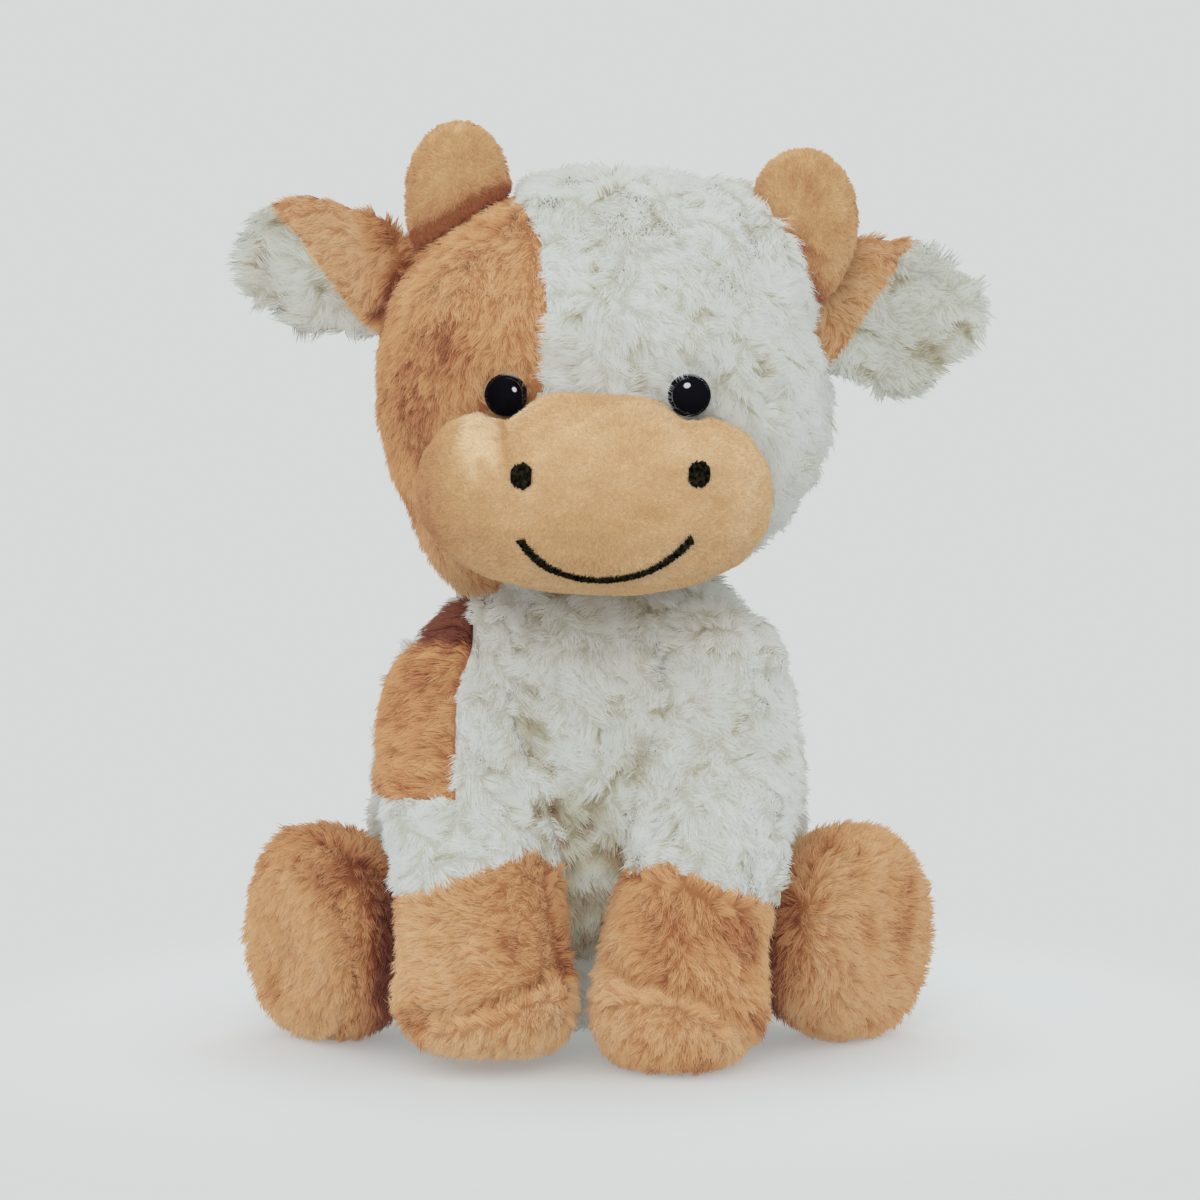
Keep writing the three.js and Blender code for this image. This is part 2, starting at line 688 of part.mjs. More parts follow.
function headGroup() {
  const group = new THREE.Group();
  group.position.copy(headCentre);
  group.rotation.z = radians(headTurnDeg);
  const seats = Object.fromEntries(Object.keys(sides).map((side) => [side, eyeSeat(side)]));
  const socketPlace = neckCentre.clone().sub(headCentre).applyAxisAngle(upZ, -group.rotation.z);
  const socket = rod(
    socketPlace.clone().setZ(neckPlane), upZ, neckRadius + jointGap, 2 * (neckRise + jointGap), torsoSegments,
  );
  const cuts = [socket, earSlots(), eyePocket(seats.right), eyePocket(seats.left)].reduce((a, b) => a.add(b));

  const shell = headForm(0).subtract(headForm(fabricWall)).subtract(socket).subtract(earSlots())
    .subtract(rod(seats.right.place, seats.right.normal, stemRadius + jointGap, 2 * stemLength, eyeSegments))
    .subtract(rod(seats.left.place, seats.left.normal, stemRadius + jointGap, 2 * stemLength, eyeSegments));
  group.add(meshOf("head_tan_panel", shell.intersect(tanPanelRoom(seamGap)), "tan_plush"));
  group.add(meshOf("head_white_panel", shell.subtract(tanPanelRoom(0)), "white_plush"));
  group.add(meshOf("head_filling", headForm(fabricWall + seamGap).subtract(cuts), "fibre"));

  const eyeRooms = eyeRoom(seats.right).add(eyeRoom(seats.left));
  const cover = muzzleForm(0).subtract(muzzleForm(fabricWall)).subtract(headForm(-seamGap)).subtract(eyeRooms);
  const pad = muzzleForm(fabricWall + seamGap).subtract(headForm(-seamGap)).subtract(eyeRooms);
  group.add(meshOf("muzzle_cover", cover, "short_plush"));
  group.add(meshOf("muzzle_filling", pad, "fibre"));
  group.add(meshOf("smile_embroidery", smileSolid(), "black_thread"));

  for (const side of Object.keys(sides)) {
    group.add(meshOf(`nostril_${side}`, nostrilSolid(side), "black_thread"));
    group.add(meshOf(`eye_${side}`, eyeSolid(seats[side]), "black_gloss"));
    group.add(meshOf(`eye_washer_${side}`, washerSolid(seats[side]), "clear_plastic"));
    group.add(...hornMeshes(side));
    const ear = new THREE.Group();
    const { root } = earFrame(side);
    ear.position.copy(root);
    ear.add(...earMeshes(side, root));
    group.add(ear);
  }
  return group;
}

// Forelegs: one form per side, then cut into sleeve, patch, paw and filling

function forelegForm(side, inset) {
  const sleeve = levelLoft(forelegShares, forelegRings, limbSegments, {
    low: inset, high: shoulderHeight, halfWidth: forelegHalfWidth, halfDepth: forelegHalfDepth,
    centreX: sides[side] * forelegSpread, outShift: sides[side] * forelegHalfWidth,
    centreY: -forelegForward, backShift: forelegForward - shoulderForward, inset,
  });
  const shoulder = ball(shoulderOf(side), shoulderRadius - inset);
  return solidOf(sleeve).subtract(torsoForm(-jointGap - inset)).add(shoulder);
}

function forelegGroup(side) {
  const group = new THREE.Group();
  const shoulder = shoulderOf(side);
  group.position.copy(shoulder);
  const shell = forelegForm(side, 0).subtract(forelegForm(side, fabricWall));
  const pawTop = new THREE.Vector3(sides[side] * pawSlopeShare, 0, 1).normalize();
  const offset = pawTop.dot(new THREE.Vector3(sides[side] * forelegSpread, 0, pawHeight));
  const sleeve = sideOf(shell, pawTop, offset + seamGap);
  const paw = sideOf(shell, pawTop.clone().negate(), -offset);
  group.add(meshOf(`foreleg_${side}_paw`, paw, "tan_plush", shoulder));
  if (side === "right") {
    const patchRoom = (gap) =>
      block(
        new THREE.Vector3(-2 * torsoHalfWidth, -2 * torsoHalfDepth, patchBottom + gap),
        new THREE.Vector3(-patchSeamSide - gap, 2 * torsoHalfDepth, torsoHeight),
      );
    group.add(meshOf(`foreleg_${side}_patch`, sleeve.intersect(patchRoom(seamGap)), "tan_plush", shoulder));
    group.add(meshOf(`foreleg_${side}_sleeve`, sleeve.subtract(patchRoom(0)), "white_plush", shoulder));
  } else {
    group.add(meshOf(`foreleg_${side}_sleeve`, sleeve, "white_plush", shoulder));
  }
  group.add(meshOf(`foreleg_${side}_filling`, forelegForm(side, fabricWall + seamGap), "fibre", shoulder));
  return group;
}

// Hind legs: rings stand upright across the leg's own direction

function hindlegForm(side, inset) {
  const hip = hipOf(side);
  const splay = radians(splayDeg);
  const direction = new THREE.Vector3(sides[side] * Math.sin(splay), -Math.cos(splay), 0);
  const across = new THREE.Vector3().crossVectors(upZ, direction);
  const rings = smoothShares(hindlegShares, detail(hindlegRings, inset)).map((row) => ({
    centre: hip
      .clone()
      .addScaledVector(direction, THREE.MathUtils.lerp(hindlegStart, hindlegLength - inset, row.height)),
    across,
    along: upZ,
    halfWidth: shrunk(row.width * footRadius, inset),
    halfDepth: shrunk(row.depth * footRadius, inset),
    power: 2,
  }));
  const leg = solidOf(loft(rings, detail(limbSegments, inset))).subtract(torsoForm(-jointGap - inset));
  const pressed = leg.subtract(forelegForm(side, -seamGap - inset));
  return sideOf(pressed.add(ball(hip, hipRadius - inset)), upZ, inset);
}

function hindlegGroup(side) {
  const group = new THREE.Group();
  const hip = hipOf(side);
  const splay = radians(splayDeg);
  const direction = new THREE.Vector3(sides[side] * Math.sin(splay), -Math.cos(splay), 0);
  group.position.copy(hip);
  const shell = hindlegForm(side, 0).subtract(hindlegForm(side, fabricWall));
  const reach = (share) => direction.dot(hip) + THREE.MathUtils.lerp(hindlegStart, hindlegLength, share);
  const back = direction.clone().negate();
  const thigh = sideOf(shell, back, -reach(thighEndShare));
  const foot = sideOf(sideOf(shell, direction, reach(thighEndShare) + seamGap), back, -reach(soleStartShare));
  const sole = sideOf(shell, direction, reach(soleStartShare) + seamGap);
  group.add(meshOf(`hindleg_${side}_thigh`, thigh, "white_plush", hip));
  group.add(meshOf(`hindleg_${side}_foot`, foot, "tan_plush", hip));
  group.add(meshOf(`hindleg_${side}_sole`, sole, "tan_plush", hip));
  group.add(meshOf(`hindleg_${side}_filling`, hindlegForm(side, fabricWall + seamGap), "fibre", hip));
  return group;
}

// Tail

function tailGroup() {
  const group = new THREE.Group();
  group.position.copy(tailRoot);
  const lean = radians(tailLeanDeg);
  const direction = new THREE.Vector3(0, Math.sin(lean), -Math.cos(lean));
  const across = new THREE.Vector3().crossVectors(backY, direction).normalize();
  const along = new THREE.Vector3().crossVectors(direction, across);
  const tubeCentre = tailRoot.clone().addScaledVector(direction, tailLength / 2);
  const tuftStart = tailLength - tuftLength;
  const rings = smoothShares(tuftShares, tuftRings).map((row) => ({
    centre: tailRoot.clone().addScaledVector(direction, tuftStart + row.height * tuftLength),
    across,
    along,
    halfWidth: row.width * tuftRadius,
    halfDepth: row.depth * tuftRadius,
    power: 2,
  }));
  const tuft = solidOf(loft(rings, tailSegments));
  const tube = rod(tubeCentre, direction, tailRadius, tailLength, tailSegments);
  const nearTube = sideOf(tube, direction.clone().negate(), -direction.dot(tailRoot) - tuftStart + seamGap);
  const outside = nearTube.subtract(torsoForm(-jointGap));
  group.add(meshOf("tail_tube", outside.add(ball(tailRoot, tailBallRadius)), "white_plush", tailRoot));
  group.add(meshOf("tail_tuft", tuft, "tan_plush", tailRoot));
  return group;
}

// The whole cow, with its origin under the middle of its outer box, on the surface that it sits on

const cow = new THREE.Group();
cow.add(torsoGroup(), headGroup(), tailGroup());
for (const side of Object.keys(sides)) {
  cow.add(forelegGroup(side), hindlegGroup(side));
}
cow.updateMatrixWorld(true);
const box = new THREE.Box3().setFromObject(cow, true);
const middle = box.getCenter(new THREE.Vector3());
cow.position.set(-middle.x, -middle.y, -box.min.z);

export default cow;
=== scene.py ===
"""The looks of the plush cow: fur, short nap, embroidery, eyes and the studio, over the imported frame."""
import json
import math
from functools import partial
from types import SimpleNamespace

import bpy
import numpy as np
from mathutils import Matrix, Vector
from mathutils.bvhtree import BVHTree
from mathutils.kdtree import KDTree


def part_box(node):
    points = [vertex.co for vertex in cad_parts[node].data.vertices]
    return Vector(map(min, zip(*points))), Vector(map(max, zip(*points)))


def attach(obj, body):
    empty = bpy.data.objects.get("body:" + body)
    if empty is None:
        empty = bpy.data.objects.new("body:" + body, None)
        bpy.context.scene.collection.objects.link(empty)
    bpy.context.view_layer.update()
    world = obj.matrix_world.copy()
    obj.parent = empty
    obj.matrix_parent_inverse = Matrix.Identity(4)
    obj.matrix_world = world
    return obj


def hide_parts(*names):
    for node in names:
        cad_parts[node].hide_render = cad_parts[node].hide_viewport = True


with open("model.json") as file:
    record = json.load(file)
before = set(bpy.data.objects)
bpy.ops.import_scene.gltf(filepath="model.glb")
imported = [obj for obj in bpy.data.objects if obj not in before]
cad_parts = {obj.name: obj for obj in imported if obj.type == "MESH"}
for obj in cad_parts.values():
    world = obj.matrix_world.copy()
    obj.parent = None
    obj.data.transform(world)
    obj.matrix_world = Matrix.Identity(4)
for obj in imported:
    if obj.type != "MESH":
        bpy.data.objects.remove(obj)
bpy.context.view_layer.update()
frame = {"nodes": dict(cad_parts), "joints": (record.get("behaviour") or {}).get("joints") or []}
scene = bpy.context.scene
SCALE = 1000.0  # the arrays below are in millimetres

JOINTS = {joint["name"]: np.array(joint["pos_m"]) * SCALE for joint in frame["joints"]}
SIDES = {"right": -1.0, "left": 1.0}


# Small vector helpers on rows of points

def unit(rows):
    return rows / np.maximum(np.linalg.norm(rows, axis=-1, keepdims=True), 1e-12)


def dot(a, b):
    return (a * b).sum(-1, keepdims=True)


def along_surface(directions, normals):
    return unit(directions - dot(directions, normals) * normals)


def turned(directions, normals, angles):
    """Tangent directions turned about their normals."""
    angles = np.asarray(angles)[:, None]
    return directions * np.cos(angles) + np.cross(normals, directions) * np.sin(angles)


def waves(points, length, seed, count=12):
    """A smooth random value at each point, about -1 to 1, whose bumps are about a length across."""
    rng = np.random.default_rng(seed)
    ways = unit(rng.normal(size=(count, 3))) * (2 * np.pi / length) * rng.uniform(0.6, 1.5, (count, 1))
    shift = rng.uniform(0, 2 * np.pi, count)
    return np.sin(points @ ways.T + shift).sum(1) / math.sqrt(count)


def rising(low, high, value):
    """0 up to the low value and 1 from the high one on."""
    t = np.clip((value - low) / (high - low), 0, 1)
    return t * t * (3 - 2 * t)


def falling(low, high, value):
    """1 up to the low value and 0 from the high one on."""
    return 1 - rising(low, high, value)


def bell(value, width):
    """1 at zero, fading over a width to both sides."""
    return np.exp(-(value / width) ** 2)


def add_object(name, data):
    obj = bpy.data.objects.new(name, data)
    scene.collection.objects.link(obj)
    return obj

# Forms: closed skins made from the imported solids

def normals_of(points, quads):
    a, b, c, d = (points[quads[:, i]] for i in range(4))
    cross = np.cross(c - a, d - b)
    normals = np.zeros_like(points)
    for i in range(4):
        for axis in range(3):
            normals[:, axis] += np.bincount(quads[:, i], cross[:, axis], len(points))
    return unit(normals)


def largest_island(points, quads):
    label = np.arange(len(points))
    while True:
        least = label[quads].min(1)
        new = label.copy()
        for i in range(4):
            np.minimum.at(new, quads[:, i], least)
        new = new[new]
        if (new == label).all():
            break
        label = new
    names, counts = np.unique(label, return_counts=True)
    keep = label == names[counts.argmax()]
    index = np.cumsum(keep) - 1
    return points[keep], index[quads[keep[quads].all(1)]]


def smoothed(points, quads, rounds):
    """Smooths without shrinking, by a step in and a step out each round."""
    pairs = np.concatenate([quads[:, [0, 1]], quads[:, [1, 2]], quads[:, [2, 3]], quads[:, [3, 0]]])
    pairs = np.unique(np.sort(pairs, 1), axis=0)
    ends = np.concatenate([pairs, pairs[:, ::-1]])
    count = np.bincount(ends[:, 0], minlength=len(points))[:, None]
    for _ in range(rounds):
        for step in (0.5, -0.52):
            far = points[ends[:, 1]]
            near = np.stack([np.bincount(ends[:, 0], far[:, k], len(points)) for k in range(3)], 1)
            points = points + step * (near / count - points)
    return points


def points_of(mesh):
    points = np.empty(len(mesh.vertices) * 3, np.float32)
    mesh.vertices.foreach_get("co", points)
    return points.reshape(-1, 3)


def form_of(nodes, voxel=1.6, rounds=40):
    """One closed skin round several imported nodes, remeshed and smoothed."""
    mesh = bpy.data.meshes.new("form")
    points, faces, start = [], [], 0
    for node in nodes:
        data = frame["nodes"][node].data
        points.append(points_of(data) * SCALE)
        faces += [[start + v for v in polygon.vertices] for polygon in data.polygons]
        start += len(data.vertices)
    mesh.from_pydata(np.concatenate(points).tolist(), [], faces)
    obj = add_object("form", mesh)
    remesh = obj.modifiers.new("remesh", "REMESH")
    remesh.mode = "VOXEL"
    remesh.voxel_size = voxel
    made = obj.evaluated_get(bpy.context.evaluated_depsgraph_get()).to_mesh()
    quads = np.array([polygon.vertices[:] for polygon in made.polygons if len(polygon.vertices) == 4])
    points, quads = largest_island(points_of(made).astype(float), quads)
    bpy.data.objects.remove(obj)
    bpy.data.meshes.remove(mesh)
    points = smoothed(points, quads, rounds)
    return SimpleNamespace(points=points, quads=quads, normals=normals_of(points, quads))


def tree_of(form):
    return BVHTree.FromPolygons(form.points.tolist(), form.quads.tolist())


def node_trees(*nodes):
    trees = []
    for node in nodes:
        data = frame["nodes"][node].data
        corners = (points_of(data) * SCALE).tolist()
        trees.append(BVHTree.FromPolygons(corners, [polygon.vertices[:] for polygon in data.polygons]))
    return trees


def gap_to(trees, points):
    """The distance from each point to the nearest of some forms."""
    return np.array([min(tree.find_nearest(point)[3] for tree in trees) for point in points.tolist()])


def close_to(trees, points, reach):
    """1 where a point touches one of the forms, falling to 0 at a reach from it."""
    return falling(0, reach, gap_to(trees, points))


def signed_distance(tree, points):
    """How far each point lies outside a closed form; negative inside it."""
    out = np.empty(len(points))
    for i, point in enumerate(points.tolist()):
        place, normal, _, distance = tree.find_nearest(point)
        inside = (Vector(point) - place).dot(normal) < 0
        out[i] = -distance if inside else distance
    return out


def kd_tree(centres):
    tree = KDTree(len(centres))
    for i, centre in enumerate(centres.tolist()):
        tree.insert(centre, i)
    tree.balance()
    return tree


NO_SEAM = 99.0  # the distance that stands for no seam near


def seam_gaps(points, centres, zone):
    """How far each point lies from the nearest face of a second zone."""
    columns = []
    for number in np.unique(zone):
        tree = kd_tree(centres[zone == number])
        columns.append([tree.find(point)[2] for point in points.tolist()])
    return np.sort(columns, 0)[1] if len(columns) > 1 else np.full(len(points), NO_SEAM)


# Meshes from arrays

def new_mesh(name, points, corners, sizes, normals=None, values=None):
    """A mesh in metres from flat arrays, with smooth or given normals and values stored on its points."""
    mesh = bpy.data.meshes.new(name)
    mesh.vertices.add(len(points))
    mesh.vertices.foreach_set("co", (points / SCALE).astype(np.float32).ravel())
    mesh.loops.add(len(corners))
    mesh.loops.foreach_set("vertex_index", corners.astype(np.int32))
    mesh.polygons.add(len(sizes))
    starts = np.concatenate([[0], np.cumsum(sizes)[:-1]]).astype(np.int32)
    mesh.polygons.foreach_set("loop_start", starts)
    mesh.polygons.foreach_set("use_smooth", np.ones(len(sizes), bool))
    mesh.update(calc_edges=True)
    for key, value in (values or {}).items():
        attribute = mesh.attributes.new(key, "FLOAT", "POINT")
        attribute.data.foreach_set("value", value.astype(np.float32))
    if normals is not None:
        mesh.normals_split_custom_set_from_vertices(normals.astype(np.float32))
    return add_object(name, mesh)


def mesh_of_faces(name, points, faces, normals=None):
    corners = np.array([v for face in faces for v in face])
    return new_mesh(name, points, corners, np.array([len(face) for face in faces]), normals)


def shell_faces(rows, turns):
    """The faces of a closed shell of rows of points, whose last two points are its low and high poles."""
    last = (rows - 1) * turns
    faces = [
        (i + k, i + (k + 1) % turns, i + turns + (k + 1) % turns, i + turns + k)
        for i in range(0, last, turns) for k in range(turns)
    ]
    for k in range(turns):
        n = (k + 1) % turns
        faces += [(rows * turns, n, k), (rows * turns + 1, last + k, last + n)]
    return faces


def add_bake_map(obj, across, up):
    """A UV map on which every strand lies where its own two values are."""
    mesh = obj.data
    layer = mesh.uv_layers.new(name="OFBake")
    index = np.empty(len(mesh.loops), np.int32)
    mesh.loops.foreach_get("vertex_index", index)
    layer.data.foreach_set("uv", np.stack([across[index], up[index]], 1).astype(np.float32).ravel())


def place_piece(obj, material, body, nodes=()):
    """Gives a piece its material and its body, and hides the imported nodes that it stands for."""
    obj.data.materials.append(material)
    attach(obj, body)
    if nodes:
        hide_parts(*nodes)


def skin_piece(name, form, faces, body, coat, nodes):
    """The fabric under a coat, over some faces of a form."""
    quads = form.quads[faces]
    used = np.unique(quads)
    index = np.zeros(len(form.points), int)
    index[used] = np.arange(len(used))
    tone = np.clip(coat.tone(form.points), *TONE_LIMITS)[used]
    corners, sizes = index[quads].ravel(), np.full(len(quads), 4)
    obj = new_mesh(name, form.points[used], corners, sizes, form.normals[used], {"tone": tone})
    obj.visible_glossy = False
    place_piece(obj, coat.skin, body, nodes)


# Fur: tapered strands gathered in locks

TONE_LIMITS = (0.01, 0.99)
TRIES = 5  # random places for each lock, of which spread_out keeps those that have room
EDGE_ON = 0.52  # under this share of facing front, a lock leans back from the outline
GROUND = 0.1  # fur stays this far above the floor


def scattered(form, faces, density, rng):
    """Random places on some faces of a form, with their normals and their distance from the nearest seam."""
    quads = form.quads[faces]
    corners = form.points[quads]
    cross = np.cross(corners[:, 2] - corners[:, 0], corners[:, 3] - corners[:, 1])
    area = 0.5 * np.linalg.norm(cross, axis=1)
    picked = rng.choice(len(quads), int(area.sum() * density), p=area / area.sum())
    u, v = rng.random((2, len(picked), 1))
    weights = [(1 - u) * (1 - v), u * (1 - v), u * v, (1 - u) * v]
    at = [quads[picked, i] for i in range(4)]
    place = sum(w * form.points[i] for w, i in zip(weights, at))
    normal = unit(sum(w * form.normals[i] for w, i in zip(weights, at)))
    seam = sum(w[:, 0] * form.seam[i] for w, i in zip(weights, at))
    return place, normal, seam


def spread_out(points, spacing):
    """Which points stay when none may lie nearer to a kept one than the spacing."""
    cells, kept = {}, []
    for i, (point, cell) in enumerate(zip(points.tolist(), np.floor(points / spacing).astype(int).tolist())):
        x, y, z = cell
        near = (
            other
            for dx in (-1, 0, 1) for dy in (-1, 0, 1) for dz in (-1, 0, 1)
            for other in cells.get((x + dx, y + dy, z + dz), ())
        )
        if all(math.dist(point, other) >= spacing for other in near):
            cells.setdefault((x, y, z), []).append(point)
            kept.append(i)
    return np.array(kept)


def nearest_two(centres, points):
    """Each point's nearest centre, and how far that one and the next one are."""
    tree = kd_tree(centres)
    found = (tree.find_n(point, 2) for point in points.tolist())
    rows = np.array([(pair[0][1], pair[0][2], pair[-1][2]) for pair in found])
    return rows[:, 0].astype(int), rows[:, 1], rows[:, 2]


def locks_on(form, faces, coat, rng):
    """Where a coat's locks stand on a form, and the way each one leans."""
    place, normal, seam = scattered(form, faces, TRIES / coat.spacing ** 2, rng)
    kept = spread_out(place, coat.spacing)
    place, normal, seam = place[kept], normal[kept], seam[kept]
    lean = along_surface(coat.comb(place, seam), normal)
    swing = coat.swing * waves(place, coat.swing_length, coat.seed) + rng.normal(0, coat.stray, len(place))
    lean = turned(lean, normal, swing)
    edge_on = np.abs(normal[:, 1]) < EDGE_ON
    lean[edge_on, 1] = np.abs(lean[edge_on, 1])
    lean = along_surface(lean, normal)
    rise = coat.rise * rng.uniform(0.75, 1.2, (len(place), 1))
    slide = coat.slide * rng.uniform(0.75, 1.25, (len(place), 1))
    return SimpleNamespace(
        place=place, crest=place + rise * normal + slide * lean, rise=rise, tone=rng.random(len(place))
    )


SHARES = np.array([0.0, 0.38, 0.72, 1.0])  # the levels of a strand, as shares of its length
WIDTHS = np.array([1.0, 0.9, 0.6, 0.0])
LEVELS = np.array([0, 0, 1, 1, 2, 2, 3])  # a strand's points: two on each of three levels, and its tip
ASIDE = np.array([-1, 1, -1, 1, -1, 1, 0])


def strands(root, normal, seam, locks, coat, rng, trim=None):
    """Ribbons that rise from their roots and bend over to the crest of their lock."""
    lock, near, second = nearest_two(locks.place, root)
    edge = np.clip(near / (0.5 * (near + second) + 1e-6), 0, 1)
    offset = root - locks.place[lock]
    seam_reach = coat.seam_share + (1 - coat.seam_share) * rising(0, 4.5, seam)
    reach = rng.uniform(coat.least, 1.1, len(root)) * seam_reach
    reach = (reach * (0.6 + 0.4 * rising(1, 12, root[:, 2])))[:, None]
    tip = locks.crest[lock] + coat.gather * offset + rng.normal(0, coat.fray, root.shape)
    tip = root + (tip - root) * reach
    middle = root + normal * locks.rise[lock] * 0.7 * reach + 0.22 * (tip - root)
    middle = middle + rng.normal(0, 0.3 * coat.fray, root.shape)
    if trim is not None:
        tip = trim(tip)
    t = SHARES[:, None, None]
    spine = (1 - t) ** 2 * root + 2 * t * (1 - t) * middle + t ** 2 * tip
    spine[..., 2] = np.maximum(spine[..., 2], GROUND + 0.05)
    tangent = unit(2 * (1 - t) * (middle - root) + 2 * t * (tip - middle) + 1e-9)
    toward = np.where(normal[:, 1:2] < 0.6, -1.0, 1.0) * [[0.0, 1.0, 0.0]]
    rim = falling(0.35, 0.8, np.abs(normal[:, 1:2])) * rng.uniform(0.2, 1.5, (len(root), 1))
    side = unit(np.cross(tangent, (normal + rim * toward)[None] + 0.02 * tangent[:, :, ::-1]))
    roll = rng.normal(0, coat.roll, len(root))[None, :, None]
    side = unit(side * np.cos(roll) + np.cross(tangent, side) * np.sin(roll))
    half = 0.5 * coat.width * rng.uniform(0.7, 1.2, (len(root), 1))
    rounded = unit(normal + coat.round_share * offset / coat.spacing)
    face = unit(np.cross(side, tangent))
    flat, ahead = np.abs(dot(face, normal[None])), np.abs(dot(face, toward[None]))
    shade = (0.2 + flat) * (rounded + rng.normal(0, 0.04, root.shape))[None]
    shade = shade + (0.15 + 0.7 * ahead) * toward[None]
    lit_side = np.sign(dot(face[1], shade[1]) + 1e-9)
    face = face * lit_side
    shade = unit(shade + coat.own * face)
    shade = unit(shade + face * np.maximum(0, 0.45 - dot(face, shade)))
    count = len(root)
    across = side * half * WIDTHS[:, None, None]
    points = (spine[LEVELS] + ASIDE[:, None, None] * across[LEVELS]).transpose(1, 0, 2)
    points[..., 2] = np.maximum(points[..., 2], GROUND)
    away = lit_side[:, 0] < 0
    points[away] = points[away][:, [1, 0, 3, 2, 5, 4, 6]]
    base = coat.tone(root)
    shown = base + coat.lock_tone * (locks.tone[lock] - 0.5) + rng.normal(0, coat.speckle, count)
    # Painted shade: strands are darker at the edges of their lock, in the gaps between locks.
    shown -= coat.gap_tone * np.clip(edge - 0.6, 0, 1) + coat.mark_tone * (locks.tone[lock] < coat.marks)
    shown -= coat.fleck_tone * (rng.random(count) < coat.flecks * (2.8 - 2.3 * rising(0.45, 0.75, base)))
    return SimpleNamespace(
        points=points, normals=shade[LEVELS].transpose(1, 0, 2), tone=np.clip(shown, *TONE_LIMITS)
    )


CORNERS = np.array([0, 1, 3, 2, 2, 3, 5, 4, 4, 5, 6])
SIZES = np.array([4, 4, 3])
MOST_STRANDS = 38000


def fur_pieces(name, made, body, coat):
    """One or more pieces that hold the strands, each small enough to be kept whole as a mesh."""
    count = len(made.points)
    parts = max(1, math.ceil(count / MOST_STRANDS))
    for number, chosen in enumerate(np.array_split(np.arange(count), parts)):
        n = len(chosen)
        corners = (CORNERS[None] + len(LEVELS) * np.arange(n)[:, None]).ravel()
        tone = np.repeat(made.tone[chosen], len(LEVELS))
        up = np.tile(SHARES[LEVELS], n)
        piece = new_mesh(
            name if parts == 1 else f"{name}_{number + 1}", made.points[chosen].reshape(-1, 3), corners,
            np.tile(SIZES, n), made.normals[chosen].reshape(-1, 3), {"tone": tone, "tip": up},
        )
        add_bake_map(piece, 0.02 + 0.96 * tone + np.tile(ASIDE, n) * 0.006, 0.02 + 0.96 * up)
        # The strands cast no shadows and catch no bounced light; painted shade in their colours stands in for
        # it.
        piece.visible_shadow = piece.visible_diffuse = piece.visible_glossy = False
        place_piece(piece, coat.fur, body)


def clothe(node, form, faces, body, coat, nodes, rng, bare=None, trim=None):
    """The fabric of one node and the fur that stands on it."""
    skin_piece(f"{node}_fabric", form, faces, body, coat, nodes)
    locks = locks_on(form, faces, coat, rng)
    place, normal, seam = scattered(form, faces, coat.density, rng)
    if bare:
        keep = bare(place)
        place, normal, seam = place[keep], normal[keep], seam[keep]
    made = strands(place - coat.depth * normal, normal, seam, locks, coat, rng, trim)
    fur_pieces(f"{node}_fur", made, body, coat)


# Materials

def colour(red, green, blue):
    """An sRGB colour, 0 to 255, as Blender's linear one."""
    shares = [c / 255 for c in (red, green, blue)]
    return [s / 12.92 if s <= 0.04045 else ((s + 0.055) / 1.055) ** 2.4 for s in shares] + [1.0]


def set_inputs(tree, node, inputs):
    """Sets each input of a node to its value, or links it to another node's output."""
    for key, value in inputs.items():
        if isinstance(value, bpy.types.NodeSocket):
            tree.links.new(value, node.inputs[key])
        else:
            node.inputs[key].default_value = value


def add_node(tree, kind, inputs, out=0, **settings):
    """Adds a shader node, and gives the output of it that is named, or else its first."""
    node = tree.nodes.new("ShaderNode" + kind)
    for key, value in settings.items():
        setattr(node, key, value)
    set_inputs(tree, node, inputs)
    return node.outputs[out]


def material_of(name, roughness, specular, sheen=0.0, tint=(1, 1, 1, 1)):
    """A new material with its node tree and its main shader."""
    material = bpy.data.materials.new(name)
    material.use_nodes = True
    tree = material.node_tree
    shader = tree.nodes["Principled BSDF"]
    set_inputs(tree, shader, {
        "Roughness": roughness, "Specular IOR Level": specular, "Sheen Weight": sheen, "Sheen Tint": tint,
    })
    return material, tree, shader


def add_ramp(tree, stops, value):
    """Colours along a value, eased between (place, colour) stops."""
    shown = add_node(tree, "ValToRGB", {"Fac": value})
    ramp = shown.node.color_ramp
    ramp.interpolation = "EASE"
    while len(ramp.elements) < len(stops):
        ramp.elements.new(0.5)
    for element, (place, shade) in zip(ramp.elements, stops):
        element.position = place
        element.color = shade
    return shown


def attribute_value(tree, name):
    return add_node(tree, "Attribute", {}, "Fac", attribute_name=name)


def mixed(tree, factor, first, second, way="MIX"):
    inputs = {"Factor": factor, "A": first, "B": second}
    return add_node(tree, "Mix", inputs, "Result", data_type="RGBA", blend_type=way)


def by_tone(tree, shades):
    """Mixes four colours by the stored tone, from the deepest at 0 to the palest at 1."""
    tone = attribute_value(tree, "tone")
    result = shades[0]
    for (low, high), shade in zip(((0.0, 0.35), (0.35, 0.7), (0.7, 1.0)), shades[1:]):
        share = add_node(tree, "MapRange", {"From Min": low, "From Max": high, "Value": tone})
        result = mixed(tree, share, result, shade)
    return result


def fur_material(name, levels, sheen, tint):
    """Strand colours from root to tip, for strands of the deepest tone to the palest; the darker roots are
    painted shade.
    """
    material, tree, shader = material_of(name, 0.8, 0.2, sheen, tint)
    tip = attribute_value(tree, "tip")
    shades = [
        add_ramp(tree, [(place, colour(*shade)) for place, shade in zip((0.0, 0.3, 0.65, 1.0), level)], tip)
        for level in levels
    ]
    set_inputs(tree, shader, {"Base Color": by_tone(tree, shades)})
    return material


def grain(tree, size, detail=2.0):
    """A fine random value that follows the place on the object."""
    place = add_node(tree, "TexCoord", {}, "Object")
    return add_node(tree, "TexNoise", {"Scale": size, "Detail": detail, "Roughness": 0.6, "Vector": place})


def add_bump(tree, shader, height, strength, distance):
    bump = add_node(tree, "Bump", {"Strength": strength, "Distance": distance, "Height": height})
    set_inputs(tree, shader, {"Normal": bump})


